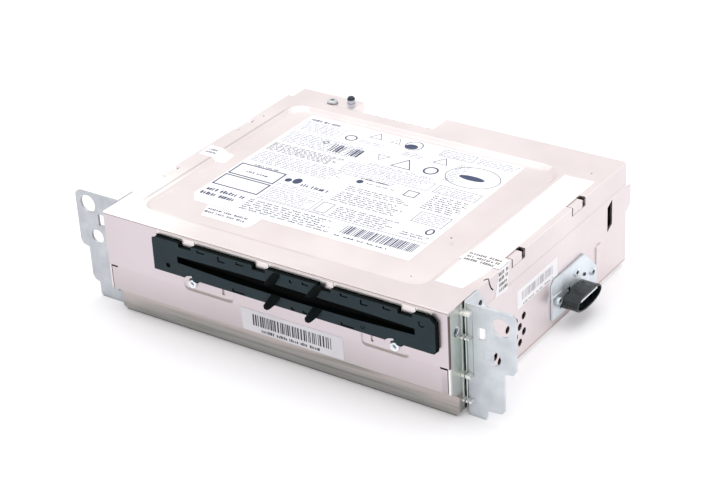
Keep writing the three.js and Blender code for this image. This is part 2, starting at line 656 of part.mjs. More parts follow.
function makeBezel() {
  const face = -bezel.proud;
  let body = plateY(bezelOutline(fitGap, true), face, bezelBack);
  const behind = sheet + seatGap;
  body = join(body, plateY(bezelOutline(-bezel.flange, false), behind, bezelBack));
  // The screw bosses behind the panel
  for (const x of [bezelScrews.left, bezelScrews.right]) {
    body = join(body, block(x - screw.headDiameter, x + screw.headDiameter, behind, bezelBack,
      bezelScrews.height - screw.headDiameter / 2, windowFoot));
  }
  for (const x of [bezelScrews.left, bezelScrews.right]) {
    const hole = screw.shank / 2 + seatGap;
    body = cut(body, bar('y', hole, overrun * 3, [x, -overrun, bezelScrews.height], smallSteps));
  }
  // The slot, wider at its mouth
  body = cut(body, plateY(slotOutline(0), face - overrun, bezelBack + overrun));
  const mouth = slotOutline(bezel.funnel).map(([x, z]) => [x, face - seatGap, z]);
  const throat = slotOutline(0).map(([x, z]) => [x, face + bezel.funnel, z]);
  body = cut(body, slotFunnel(mouth, throat));
  // Guide fins above and below the slot
  const finRoot = bezel.slotFoot - bezel.finRootDrop;
  const finHead = bezel.slotTop + bezel.finHeadRise;
  for (const x of bezelFins) {
    const x0 = x - bezel.finWidth / 2;
    const x1 = x + bezel.finWidth / 2;
    const lower = [
      [face + sheet, windowFoot], [face - bezel.finReach * bezel.finFootShare, windowFoot],
      [face - bezel.finReach, windowFoot + bezel.finWidth], [face + sheet, finRoot],
    ];
    const upper = [
      [face + sheet, finHead], [face - bezel.finReach, finHead + bezel.finWidth],
      [face - bezel.finReach, finHead + 2 * bezel.finWidth], [face + sheet, windowTop - bezel.finCrownDrop],
    ];
    body = join(body, plateX(lower, x0, x1), plateX(upper, x0, x1));
  }
  // Narrow bent slits and the small round eye
  const slitFace = face - seatGap;
  const slitFloor = face + bezel.slitDepth;
  const slitTop = windowTop - bezel.slitDrop;
  const slitLow = windowFoot + bezel.slitRise;
  for (const x of upperSlits) {
    body = cut(body, block(x, x + bezel.slitWidth, slitFace, slitFloor, slitTop - bezel.slitHeight,
      slitTop));
    body = cut(body, block(x, x + bezel.slitLength, slitFace, slitFloor,
      slitTop - bezel.slitHeight, slitTop - bezel.slitHeight + bezel.slitWidth));
  }
  for (const x of lowerSlits) {
    body = cut(body, block(x, x + bezel.slitLength, slitFace, slitFloor, slitLow,
      slitLow + bezel.slitWidth));
  }
  body = cut(body, bar('y', bezel.eyeDiameter / 2, bezel.slitDepth + seatGap,
    [bezel.eyeX, slitFace, disc.height + aboveDisc.eye], smallSteps));
  add('slot_bezel', body, blackPlastic);
}

// The slot's funnel, made of convex stretches between matching points below and above
function slotFunnel(mouth, throat) {
  const count = mouth.length;
  const half = count / 2;
  let made = null;
  for (let i = 0; i + 1 < half; i += 1) {
    const low = [i, i + 1];
    const high = [count - 2 - i, count - 1 - i];
    const order = [low[0], low[1], high[0], high[1]];
    const piece = loft([order.map((k) => throat[k]), order.map((k) => mouth[k])]);
    made = made ? made.add(piece) : piece;
  }
  return made;
}

// The two dust strips, whose lips nearly meet at the disc's height
function makeFelts() {
  const left = slotLeft - felt.carrier;
  const right = slotRight + felt.carrier;
  const y0 = bezelBack + seatGap;
  const y1 = y0 + felt.thickness;
  const upper = disc.height + felt.lap;
  const lower = disc.height - felt.lap;
  add('upper_dust_strip', block(left, right, y0, y1, upper, upper + felt.height), blackFelt);
  add('lower_dust_strip', block(left, right, y0, y1, lower - felt.height, lower), blackFelt);
}

// A button-headed screw with a six-lobed socket, driven along +Y
function screwY(x, z, seatY) {
  const head = screw.headDiameter / 2;
  const dome = turned([
    [0, 0], [screw.shank / 2, 0], [screw.shank / 2, screw.shankLength - screw.headHeight],
    [head, screw.shankLength - screw.headHeight], [head, screw.shankLength - screw.headHeight / 2],
    [head * screw.domeShare, screw.shankLength], [0, screw.shankLength],
  ], [0, 0, 0]);
  const star = [];
  for (let i = 0; i < smallSteps; i += 1) {
    const radius = (screw.socket / 2) * (i % 2 ? screw.lobeShare : 1);
    const angle = (i / smallSteps) * Math.PI * 2;
    star.push([radius * Math.cos(angle), radius * Math.sin(angle)]);
  }
  const socket = plateZ(star, screw.shankLength - screw.socketDepth, screw.shankLength + overrun);
  return cut(dome, socket)
    .rotate([90, 0, 0])
    .translate([x, seatY + screw.shankLength - screw.headHeight, z]);
}

function makeBezelScrews() {
  const seat = front.pocketDepth - seatGap;
  add('bezel_screw_left', screwY(bezelScrews.left, bezelScrews.height, seat), brightSteel);
  add('bezel_screw_right', screwY(bezelScrews.right, bezelScrews.height, seat), brightSteel);
}

function latchCut(side, { start, length }) {
  const outerX = halfWidth + overrun;
  const edge = halfWidth - cover.latchSide;
  const span = side > 0 ? [edge, outerX] : [-outerX, -edge];
  const foot = caseHeight - cover.latchHeight;
  return block(span[0], span[1], start, start + length, foot, caseHeight + overrun);
}

function latchTongue(side, { start, length }) {
  const x1 = halfWidth - cover.tongueInset;
  const x0 = x1 - cover.tongueSheet;
  const span = side > 0 ? [x0, x1] : [-x1, -x0];
  const foot = caseHeight - cover.latchHeight;
  const y0 = start + cover.tongueFrontGap;
  const y1 = start + length - cover.tongueBackGap;
  const upright = block(span[0], span[1], y0, y1, foot - sheet, caseHeight - cover.lip);
  const edge = halfWidth - cover.latchSide - sheet;
  const shelf = side > 0 ? [edge, x1] : [-x1, -edge];
  return upright.add(block(shelf[0], shelf[1], y0, y1, coverUnder - cover.lip / 2,
    caseHeight - cover.lip / 2));
}

function makeCover() {
  const plan = [
    [-halfWidth, 0], [halfWidth, 0], [halfWidth, caseDepth], [rearStepX, caseDepth],
    [rearStepX, shortDepth], [-halfWidth, shortDepth],
  ];
  let lid = plateZ(plan, coverUnder, caseHeight);
  const flangeFront = chassis.stripEnd + seatGap;
  const flangeFoot = wallTop + cover.flangeRise;
  lid = join(lid, block(wallInner, halfWidth, flangeFront, caseDepth, flangeFoot, caseHeight));
  lid = join(lid, block(-halfWidth, -wallInner, flangeFront, shortDepth, flangeFoot, caseHeight));
  // The recessed panel, a shallow tray with sloping sides
  const radii = [cover.cornerRadius, cover.cornerRadius, cover.farCornerRadius, cover.cornerRadius];
  const outline = (grow) => roundedOutline(cover.recessLeft - grow, cover.recessRight + grow,
    cover.recessFront - grow, shortDepth - cover.recessFromRear + grow, radii);
  const recessFloor = caseHeight - cover.recessDepth;
  lid = join(lid, loft([
    ring(outline(sheet - cover.recessSlope), recessFloor - sheet),
    ring(outline(sheet), coverUnder),
    ring(outline(sheet), caseHeight - cover.recessDepth / 4),
  ]));
  lid = cut(lid, loft([
    ring(outline(-cover.recessSlope), recessFloor),
    ring(outline(0), caseHeight),
    ring(outline(0), caseHeight + overrun),
  ]));
  // Latches along both flanges
  for (const latch of latches) {
    lid = cut(lid, latchCut(1, latch)).add(latchTongue(1, latch));
  }
  for (const latch of leftLatches) {
    lid = cut(lid, latchCut(-1, latch)).add(latchTongue(-1, latch));
  }
  add('top_cover', lid, steelSkin);
}

// One mounting ear: a bent bracket with a leg along the wall and a holed plate across the front
function makeEar(name, side, size) {
  const inner = halfWidth + seatGap;
  const outer = inner + ear.sheet;
  const y0 = ear.setback;
  const y1 = y0 + ear.sheet;
  const reach = halfWidth + size.reach;
  // Plan of the bend
  const plan = [];
  for (let step = 0; step <= ear.bendSteps; step += 1) {
    const angle = Math.PI + (step / ear.bendSteps) * Math.PI / 2;
    const radius = ear.bend + ear.sheet;
    plan.push([inner + radius + radius * Math.cos(angle), y0 + radius + radius * Math.sin(angle)]);
  }
  plan.push([reach, y0], [reach, y1]);
  for (let step = ear.bendSteps; step >= 0; step -= 1) {
    const angle = Math.PI + (step / ear.bendSteps) * Math.PI / 2;
    plan.push([
      outer + ear.bend + ear.bend * Math.cos(angle),
      y1 + ear.bend + ear.bend * Math.sin(angle),
    ]);
  }
  plan.push([outer, earLeg.bulge], [inner, earLeg.bulge]);
  const bent = plateZ(plan, 0, ear.top);
  // Front view of the plate
  const shoulder = ear.top - ear.shoulderDrop;
  const shoulderX = halfWidth + size.shoulderReach;
  const footX = halfWidth + size.footReach;
  const r = ear.cornerRadius;
  const corner = [];
  for (let step = 0; step <= cornerSteps; step += 1) {
    const angle = (step / cornerSteps) * Math.PI / 2;
    corner.push([reach - r + r * Math.cos(angle), ear.top - r + r * Math.sin(angle)]);
  }
  const plate = [
    [inner, 0], [footX - r / 2, 0], [footX, r / 2], [footX, size.step], [shoulderX - r / 2,
      size.step + r / 4],
    [shoulderX, size.waist + r / 4], [shoulderX, shoulder], [reach - r / 2, shoulder + r / 4],
    [reach, shoulder + r], ...corner, [inner, ear.top],
  ];
  // Side view of the leg
  const leg = [
    [y0 - overrun, ear.legFoot], [earLeg.low, ear.legFoot], [earLeg.low, ear.top - ear.legStepDrop],
    [earLeg.bulge, ear.top - ear.legBulgeDrop], [earLeg.waist, ear.top - ear.legWaistDrop],
    [earLeg.apex, ear.top], [y0 - overrun, ear.top],
  ];
  const mask = plateY(plate, y0 - overrun, y1 + ear.bend / 2)
    .add(plateX(leg, inner - overrun, outer + ear.bend));
  let bracket = bent.intersect(mask);
  const through = overrun * 2;
  const at = (x, z) => [halfWidth + x, y0 - overrun, z];
  bracket = cut(bracket, bar('y', ear.holeDiameter / 2, through, at(size.holeX, ear.top - size.holeDrop)));
  const lowHole = at(size.lowHoleX, ear.top - size.lowHoleDrop);
  bracket = cut(bracket, bar('y', ear.lowHoleDiameter / 2, through, lowHole));
  const wx = halfWidth + size.windowX;
  const windowMiddle = ear.top - ear.windowDrop;
  bracket = cut(bracket, block(wx - ear.windowWidth / 2, wx + ear.windowWidth / 2, y0 - overrun, y1 + overrun,
    windowMiddle - ear.windowHeight / 2, windowMiddle + ear.windowHeight / 2));
  bracket = cut(bracket, bar('x', ear.legHoleDiameter / 2, overrun * 2,
    [inner - overrun, ear.legHoleY, ear.top - ear.legHoleDrop], smallSteps));
  // Hooks that stand out of the plate's face beside the wall, two of them split into teeth
  for (const hook of earHooks) {
    const foot = ear.top - hook.drop;
    const top = foot + hook.height;
    const width = hook.teeth > 1 ? ear.hookRun * ear.toothShare : ear.hookRun;
    const pitch = (ear.hookRun - width) / Math.max(hook.teeth - 1, 1);
    for (let i = 0; i < hook.teeth; i += 1) {
      const left = inner + i * pitch;
      bracket = join(bracket, block(left, left + width, y0 - ear.hookReach, y1, foot, top));
    }
  }
  add(name, side > 0 ? bracket : bracket.mirror([1, 0, 0]), zinc);
}

function makeSupport() {
  const x0 = halfWidth + seatGap;
  const x1 = x0 + support.sheet;
  const outline = [
    [supportFront, support.foot], [supportFront + support.length, support.foot],
    [supportFront + support.length, support.tailTop], [supportFront + support.shoulder, support.top],
    [supportFront + support.noseStep, support.top], [supportFront, support.top - support.noseStep],
  ];
  let plate = plateX(outline, x0, x1);
  // The bent front edge falls back to the wall
  const bevelY = supportFront + support.bevelRun;
  const edge = x1 - support.sheet * support.rimShare;
  const fold = [
    [x1 + sheet, supportFront - overrun], [x1 + sheet, bevelY], [x1, bevelY], [edge, supportFront - overrun],
  ];
  const mask = plateZ(fold, support.noseRise, support.top + overrun);
  plate = cut(plate, mask);
  // Flanged holes and plain holes
  for (const { along, z } of supportHoles) {
    const y = supportFront + along;
    const collar = support.holeDiameter / 2 + support.collar / 2;
    plate = join(plate, bar('x', collar, support.sheet + support.collarProud, [x0, y, z], smallSteps));
    plate = cut(plate, bar('x', support.holeDiameter / 2, overrun * 2, [x0 - overrun / 2, y, z], smallSteps));
  }
  for (const { along, z } of supportSlots) {
    const at = [x0 - overrun / 2, supportFront + along, z];
    plate = cut(plate, bar('x', support.slotDiameter / 2, overrun * 2, at, smallSteps));
  }
  // The tab that carries the sleeve
  const tabStart = supportFront + support.tabStart;
  plate = join(plate, block(x0, x1 + support.tabReach, tabStart, tabStart + support.tabLength,
    support.tabHeight, support.tabHeight + support.tabThickness));
  add('side_support_bracket', plate, zinc);
}

function sleeveRing(x, inset) {
  const points = [];
  for (let step = 0; step < roundSteps; step += 1) {
    const angle = (step / roundSteps) * Math.PI * 2;
    const across = Math.sign(Math.cos(angle)) * Math.abs(Math.cos(angle)) ** sleeve.sag;
    points.push([
      x,
      supportFront + sleeve.along + (sleeve.width / 2 - inset) * across,
      sleeve.middleZ + (sleeve.height / 2 - inset) * Math.sin(angle),
    ]);
  }
  return points;
}

function makeSleeve() {
  const x0 = halfWidth + seatGap + support.sheet + seatGap;
  const x1 = x0 + sleeve.length;
  const half = (x0 + x1) / 2;
  const lip = sleeve.wall / 3;
  const outer = loft([
    sleeveRing(x0, 0), sleeveRing(half, lip / 2), sleeveRing(x1 - lip, 0), sleeveRing(x1, lip),
  ]);
  const inner = loft([sleeveRing(x0 - overrun, sleeve.wall), sleeveRing(x1 + overrun, sleeve.wall)]);
  add('rubber_sleeve', cut(outer, inner), blackRubber);
}

function makeRear() {
  const plan = [
    [-halfWidth, shortDepth - sheet], [rearStepX + sheet, shortDepth - sheet],
    [rearStepX + sheet, caseDepth - sheet],
    [halfWidth, caseDepth - sheet], [halfWidth, caseDepth], [rearStepX, caseDepth], [rearStepX, shortDepth],
    [-halfWidth, shortDepth],
  ];
  let panel = plateZ(plan, 0, rear.top)
    .intersect(plateY(trayOutline(sheet + seatGap, rear.top), shortDepth - overrun, caseDepth + overrun));
  const backFace = caseDepth + overrun;
  // Windows for the plug housing and the aerial sockets
  panel = cut(panel, block(rear.plugLeft - seatGap, rear.plugRight + seatGap, caseDepth - overrun, backFace,
    rear.plugFoot - seatGap, plugTop + seatGap));
  const dataRight = rear.dataLeft + rear.dataWidth + seatGap;
  panel = cut(panel, block(rear.dataLeft - seatGap, dataRight, caseDepth - overrun, backFace,
    rear.dataFoot - seatGap, rear.dataFoot + rear.dataHeight + seatGap));
  const half = rear.aerialSize / 2 + seatGap;
  for (let i = 0; i < aerialCount; i += 1) {
    const x = rear.aerialFirstX + i * rear.aerialPitch;
    panel = cut(panel, block(x - half, x + half, caseDepth - overrun, backFace,
      aerialFoot - seatGap, aerialFoot + rear.aerialSize + seatGap));
  }
  add('rear_panel', panel, steelSkin);
}

function makeRearSockets() {
  // The main plug housing, open to the rear, with its contact pins on a divider
  const y0 = caseDepth - rear.plugDepth;
  const y1 = caseDepth + rear.grommet;
  const w = rear.plugWall;
  let shroud = block(rear.plugLeft, rear.plugRight, y0, y1, rear.plugFoot, plugTop);
  const middle = (rear.plugLeft + rear.plugRight) / 2;
  shroud = cut(shroud,
    block(rear.plugLeft + w, middle - w / 2, y0 + w, y1 + overrun, rear.plugFoot + w, plugTop - w),
    block(middle + w / 2, rear.plugRight - w, y0 + w, y1 + overrun, rear.plugFoot + w, plugTop - w));
  const pin = w / 2;
  const stepX = (rear.plugRight - rear.plugLeft) / (rear.contactColumns + 1);
  const stepZ = (plugTop - rear.plugFoot) / (rear.contactRows + 1);
  for (let row = 1; row <= rear.contactRows; row += 1) {
    for (let i = 1; i <= rear.contactColumns; i += 1) {
      const x = rear.plugLeft + i * stepX;
      const z = rear.plugFoot + row * stepZ;
      shroud = join(shroud, block(x - pin / 2, x + pin / 2, y0 + w / 2, y0 + w + rear.pinLength,
        z - pin / 2, z + pin / 2));
    }
  }
  // Two solder feet that reach down to the board
  const boardTop = board.height + board.thickness;
  for (const x of [rear.plugLeft, rear.plugRight - w]) {
    shroud = join(shroud, block(x, x + w, y0 - w, y0 + w, rear.plugFoot, plugTop));
  }
  add('main_connector', shroud, blackPlastic);
  // The data socket, with a flat tongue inside
  const right = rear.dataLeft + rear.dataWidth;
  const top = rear.dataFoot + rear.dataHeight;
  const wall = rear.dataWall;
  const dataFront = caseDepth - rear.dataDepth;
  const dataMiddle = (rear.dataFoot + top) / 2;
  let port = block(rear.dataLeft, right, dataFront, y1, rear.dataFoot, top);
  port = cut(port, block(rear.dataLeft + wall, right - wall, dataFront + wall, y1 + overrun,
    rear.dataFoot + wall, top - wall));
  port = join(port, block(rear.dataLeft + wall * 2, right - wall * 2, dataFront, y1 - wall * 2,
    dataMiddle - rear.tongue / 2, dataMiddle + rear.tongue / 2));
  add('data_socket', port, greyPlastic);
  add('main_connector_foot', block(rear.plugLeft, rear.plugRight, boardBack - rear.plugBack, y0 - w - seatGap,
    boardTop + seatGap, drive.foot - sheet), blackPlastic);
  // The aerial sockets, square keyed housings with a centre pin
  const colours = [violetPlastic, bluePlastic, greyPlastic];
  for (let i = 0; i < aerialCount; i += 1) {
    const x = rear.aerialFirstX + i * rear.aerialPitch;
    const h = rear.aerialSize / 2;
    const z = aerialFoot + h;
    let socket = block(x - h, x + h, caseDepth - rear.aerialDepth, y1, z - h, z + h);
    const bore = h - rear.dataWall;
    socket = cut(socket, bar('y', bore, rear.aerialDepth + overrun, [x, caseDepth - rear.aerialDepth + w, z],
      smallSteps));
    const at = [x, caseDepth - rear.aerialDepth, z];
    socket = join(socket, bar('y', rear.dataWall / 2, rear.aerialDepth / 2, at, smallSteps));
    add(`aerial_socket_${i + 1}`, socket, colours[i]);
  }
}

// The bracket at the rear left, bent from one sheet, with its screw and capped stud
function makeRearBracket() {
  const b = rearBracket;
  const top = coverUnder;
  const low = top - b.height;
  const y0 = shortDepth + seatGap;
  const y1 = y0 + b.reach;
  let bent = block(b.left, b.right, y0, y0 + sheet, low, top);
  bent = join(bent, block(b.left, b.right, y0, y1, top - sheet, top));
  const gusset = [[y0, low], [y0 + sheet, low], [y1, top - sheet * b.gussetSheets], [y1, top], [y0, top]];
  bent = join(bent, plateX(gusset, b.left, b.left + sheet), plateX(gusset, b.right - sheet, b.right));
  const bore = b.boltBore / 2 + seatGap;
  const boltY = shortDepth + b.boltBack;
  const studY = shortDepth + b.studBack;
  bent = cut(bent, bar('z', bore, sheet + overrun, [b.boltX, boltY, top - sheet - overrun / 2], smallSteps));
  bent = cut(bent, bar('z', bore, sheet + overrun, [b.studX, studY, top - sheet - overrun / 2], smallSteps));
  add('rear_bracket', bent, steelSkin);
  const head = b.boltHead / 2;
  const foot = top + seatGap;
  const bolt = turned([
    [0, -b.boltLength], [b.boltBore / 2, -b.boltLength], [b.boltBore / 2, 0], [head, 0],
    [head, b.boltHeadHeight / 2], [head * b.headShare, b.boltHeadHeight], [0, b.boltHeadHeight],
  ], [b.boltX, boltY, foot], smallSteps);
  const socket = bar('z', screw.socket / 2, b.boltHeadHeight, [b.boltX, boltY, foot + b.boltHeadHeight / 2],
    cornerSteps + 2);
  add('rear_bracket_screw', cut(bolt, socket), brightSteel);
  const post = turned([
    [0, -b.studLength], [b.boltBore / 2, -b.studLength], [b.boltBore / 2, 0], [b.studDiameter / 2, 0],
    [b.studDiameter / 2, b.studHeight * b.capShare], [b.studDiameter / 3, b.studHeight], [0, b.studHeight],
  ], [b.studX, studY, foot], smallSteps);
  add('rear_bracket_stud', post, blackPlastic);
}

function makeHeatSink() {
  const y0 = shortDepth + seatGap;
  let body = block(sink.left, sink.right, y0, y0 + sink.base, sink.foot, caseHeight - sink.drop);
  const pitch = (sink.right - sink.left - sink.finWidth) / (sink.finCount - 1);
  for (let i = 0; i < sink.finCount; i += 1) {
    const x = sink.left + i * pitch;
    body = join(body, block(x, x + sink.finWidth, y0, y0 + sink.depth, sink.foot, caseHeight - sink.drop));
  }
  add('heat_sink', body, aluminium);
}

function makeBoard() {
  const z0 = board.height;
  const z1 = z0 + board.thickness;
  let plate = block(board.left, board.right, board.front, boardBack, z0, z1);
  for (const [x, y] of boardScrewPlaces()) {
    plate = cut(plate, bar('z', board.hole / 2, overrun * 2, [x, y, z0 - overrun / 2], smallSteps));
  }
  for (const [x, y] of drivePostPlaces()) {
    const clear = drive.postDiameter / 2 + fitGap;
    plate = cut(plate, bar('z', clear, overrun * 2, [x, y, z0 - overrun / 2], smallSteps));
  }
  add('main_board', plate, greenBoard);
  boardScrewPlaces().forEach(([x, y], i) => {
    const shank = board.hole / 2 - seatGap * 2;
    const made = turned([
      [0, -board.screwLength], [shank, -board.screwLength], [shank, 0], [board.screwHead / 2, 0],
      [board.screwHead / 2, board.screwHeadHeight / 2], [board.screwHead / 3, board.screwHeadHeight],
      [0, board.screwHeadHeight],
    ], [x, y, z1 + seatGap], smallSteps);
    add(`board_screw_${i + 1}`, made, brightSteel);
  });
}

function makeComponents() {
  const foot = board.height + board.thickness + seatGap;
  // A folded shield can with rows of vents
  const can = shieldCan;
  let shell = block(can.left, can.right, can.front, can.back, foot, foot + can.height);
  shell = cut(shell, block(can.left + can.wall, can.right - can.wall, can.front + can.wall,
    can.back - can.wall,
    foot - overrun, foot + can.height - can.wall));
  const columns = Math.floor((can.right - can.left) / can.pitch) - 1;
  for (let i = 1; i <= columns; i += 1) {
    for (const y of [can.front + can.pitch, can.back - can.pitch]) {
      const at = [can.left + i * can.pitch, y, foot + can.height - overrun / 2];
      shell = cut(shell, bar('z', can.vent / 2, overrun, at, cornerSteps * 2));
    }
  }
  add('shield_can', shell, steelInner);
  const tunerBack = boardBack - tuner.fromBack;
  let radio = block(tuner.left, tuner.right, tunerBack - tuner.length, tunerBack, foot, foot + tuner.height);
  radio = join(radio, block(tuner.left + tuner.lipInset, tuner.right - tuner.lipInset,
    tunerBack - tuner.length + tuner.lipInset, tunerBack - tuner.lipInset, foot + tuner.height,
    foot + tuner.height + tuner.lipHeight));
  add('tuner_module', radio, steelInner);
  // The power amplifier stands against the rear panel, in front of the heat sink
  const ampBack = shortDepth - sheet - seatGap;
  let chip = block(amplifier.left, amplifier.right, ampBack - amplifier.thickness, ampBack, foot,
    foot + amplifier.height);
  const ampMiddle = (amplifier.left + amplifier.right) / 2;
  chip = join(chip, block(ampMiddle - amplifier.tabWidth / 2, ampMiddle + amplifier.tabWidth / 2,
    ampBack - amplifier.tabThickness, ampBack, foot, foot + amplifier.height + amplifier.tabRise));
  add('amplifier_chip', chip, blackPlastic);
  const r = capacitor.diameter / 2;
  for (let i = 0; i < capacitorCount; i += 1) {
    const drum = turned([
      [0, 0], [r, 0], [r, capacitor.beadHeight - capacitor.bead], [r - capacitor.bead, capacitor.beadHeight],
      [r, capacitor.beadHeight + capacitor.bead], [r, capacitor.height - capacitor.bead],
      [r - capacitor.bead, capacitor.height], [0, capacitor.height],
    ], [capacitor.firstX + i * capacitor.pitch, boardBack - capacitor.fromBack, foot], smallSteps);
    add(`capacitor_${i + 1}`, drum, blackPlastic);
  }
  const outer = choke.diameter / 2;
  const inner = choke.bore / 2;
  add('choke_coil', turned([
    [inner, choke.bevel], [inner + choke.bevel, 0], [outer - choke.bevel, 0], [outer, choke.bevel],
    [outer, choke.height - choke.bevel], [outer - choke.bevel, choke.height],
    [inner + choke.bevel, choke.height], [inner, choke.height - choke.bevel], [inner, choke.bevel],
  ], [choke.x, boardBack - choke.fromBack, foot], smallSteps), greyPlastic);
}

// Places along the drive that its parts share
const rollerHeight = discUnder - roller.radius;
const reductionY = roller.middleY + gear.module * (gear.smallTeeth + gear.rollerTeeth) / 2;
const meshDistance = gear.module * (gear.smallTeeth + gear.largeTeeth) / 2;
const motorDrop = rollerHeight - loadMotor.height;
const loadMotorY = reductionY + Math.sqrt(meshDistance ** 2 - motorDrop ** 2);
const tableTop = discUnder - loadDrop;
const pivotY = deck.back - deck.pivotInset;

function makeDriveFrame() {
  const d = drive;
  const wallTop = d.top - sheet - seatGap;
  let frame = block(d.left, d.right, d.front, d.back, d.foot, d.foot + sheet);
  frame = cut(frame, block(d.left + d.sideRim, d.right - d.sideRim - loadMotor.diameter / 2,
    d.front + d.frontRim, d.back - d.backRim, d.foot - overrun, d.foot + overrun));
  frame = join(frame,
    block(d.left, d.left + sheet, d.front, d.back, d.foot, wallTop),
    block(d.right - sheet, d.right, d.front, d.back, d.foot, wallTop),
    block(d.left, d.right, d.back - sheet, d.back, d.foot, d.frontWall),
    block(d.left, d.right, d.front, d.front + sheet, d.foot, d.frontWall));
  for (const [x, y] of drivePostPlaces()) {
    const hole = d.spigot / 2 + seatGap;
    frame = cut(frame, bar('z', hole, sheet + overrun, [x, y, d.foot - overrun / 2], smallSteps));
  }
  // Bearings for the roller in the left wall and in an upright beside its gear
  const bearing = roller.shaft / 2 + roller.shaftRun;
  frame = join(frame, block(bearingX, bearingX + sheet, d.front, d.front + roller.bearingDepth,
    d.foot, roller.bearingTop));
  frame = cut(frame, bar('x', bearing, bearingX + sheet - d.left + overrun,
    [d.left - overrun / 2, roller.middleY, rollerHeight], smallSteps));
  // The stub that carries the reduction gear
  frame = join(frame, bar('x', stub.diameter / 2, d.right - sheet / 2 - gear.planeA + stub.lead,
    [gear.planeA - stub.lead, reductionY, rollerHeight], smallSteps));
  // The plate that holds the loading motor by its boss
  const m = loadMotor;
  const plateFront = m.right - m.bossLength + seatGap;
  const halfPlate = m.plateWidth / 2;
  let plate = block(plateFront, plateFront + sheet, loadMotorY - halfPlate, loadMotorY + halfPlate,
    d.foot, m.plateTop);
  plate = cut(plate, bar('x', m.boss / 2 + seatGap, overrun, [plateFront - overrun / 3, loadMotorY, m.height],
    smallSteps));
  frame = join(frame, plate);
  // The lever's post and pin
  frame = join(frame,
    bar('z', lever.post / 2, lever.foot - seatGap - d.foot, [lever.pivotX, lever.pivotY, d.foot], smallSteps),
    bar('z', lever.pin / 2, lever.foot + lever.thickness + lever.pinRise - d.foot,
      [lever.pivotX, lever.pivotY, d.foot], smallSteps));
  add('drive_frame', frame, steelInner);

  let lid = block(d.left, d.right, d.front, d.back, d.top - sheet, d.top);
  lid = cut(lid, bar('z', d.eyeRadius, overrun * 2, [disc.middleX, disc.middleY, d.top - overrun]));
  lid = cut(lid, block(disc.middleX - d.eyeSlot / 2, disc.middleX + d.eyeSlot / 2, disc.middleY, pivotY,
    d.top - overrun, d.top + overrun));
  add('drive_top_plate', lid, steelInner);
}

function damperPlaces() {
  const places = [];
  for (const y of [deck.front + damper.insetY, deck.back - damper.insetY]) {
    for (const x of [deck.left + damper.insetX, deck.right - damper.insetX]) {
      places.push([x, y]);
    }
  }
  return places;
}

function makeDeck() {
  const z0 = deck.height;
  const z1 = z0 + deck.thickness;
  let plate = block(deck.left, deck.right, deck.front, deck.back, z0, z1);
  // Openings under the sled and for the feed motor
  const wellHalf = sled.width / 2 + sled.wellGap;
  plate = cut(plate, block(rail.left + rail.block, deck.wellEnd, disc.middleY - wellHalf,
    disc.middleY + wellHalf, z0 - overrun, z1 + overrun));
  const feedY = disc.middleY + feedScrew.spread;
  const motorStart = feedScrew.right + seatGap;
  const halfFeed = feedMotor.diameter / 2 + feedMotor.clear;
  plate = cut(plate, block(motorStart - feedMotor.clear, motorStart + feedMotor.length + feedMotor.clear,
    feedY - halfFeed, feedY + halfFeed, z0 - overrun, z1 + overrun));
  // Studs into the dampers
  for (const [x, y] of damperPlaces()) {
    const reach = z1 - (drive.foot + sheet) - deck.thickness / 2;
    plate = join(plate, bar('z', damper.stud / 2, reach, [x, y, z1 - reach], smallSteps));
  }
  // Ears that carry the clamp arm
  const hole = clampArm.pin / 2 + clampArm.pinRun;
  for (const side of [-1, 1]) {
    const inner = disc.middleX + side * clampArm.spread;
    const outer = inner + side * deck.thickness;
    const x0 = Math.min(inner, outer);
    const halfEar = clampArm.lugDepth / 2;
    let upright = block(x0, x0 + deck.thickness, pivotY - halfEar, pivotY + halfEar, z0, clampArm.earTop);
    const at = [x0 - overrun / 2, pivotY, clampArm.pivotHeight];
    upright = cut(upright, bar('x', hole, deck.thickness + overrun, at, smallSteps));
    plate = join(plate, upright);
  }
  // Blocks that hold the guide rods and the end of the feed screw
  const bore = rail.diameter / 2 + seatGap;
  for (const side of [-1, 1]) {
    const y = disc.middleY + side * rail.spread;
    for (const x of [rail.left, rail.right - rail.block]) {
      let holder = block(x, x + rail.block, y - rail.blockWidth / 2, y + rail.blockWidth / 2, z0,
        rail.height + rail.blockWidth / 2);
      holder = cut(holder, bar('x', bore, rail.block + overrun, [x - overrun / 2, y, rail.height],
        smallSteps));
      plate = join(plate, holder);
    }
  }
  let journal = block(feedScrew.left - rail.block, feedScrew.left, feedY - rail.blockWidth / 2,
    feedY + rail.blockWidth / 2, z0, feedScrew.height + rail.blockWidth / 2);
  journal = cut(journal, bar('x', feedScrew.journal / 2 + seatGap, rail.block + overrun,
    [feedScrew.left - rail.block - overrun / 2, feedY, feedScrew.height], smallSteps));
  plate = join(plate, journal);
  add('drive_deck', plate, steelInner);

  const foot = drive.foot + sheet + seatGap;
  const tall = z0 - seatGap - foot;
  const outer = damper.diameter / 2;
  const inner = damper.bore / 2;
  damperPlaces().forEach(([x, y], i) => {
    const bellows = turned([
      [inner, 0], [outer, 0], [outer, tall * damper.lowShare], [damper.waist / 2, tall / 2],
      [outer, tall * damper.highShare],
      [outer * damper.crownShare, tall], [inner, tall], [inner, 0],
    ], [x, y, foot], smallSteps);
    add(`deck_damper_${i + 1}`, bellows, blackRubber);
  });
}

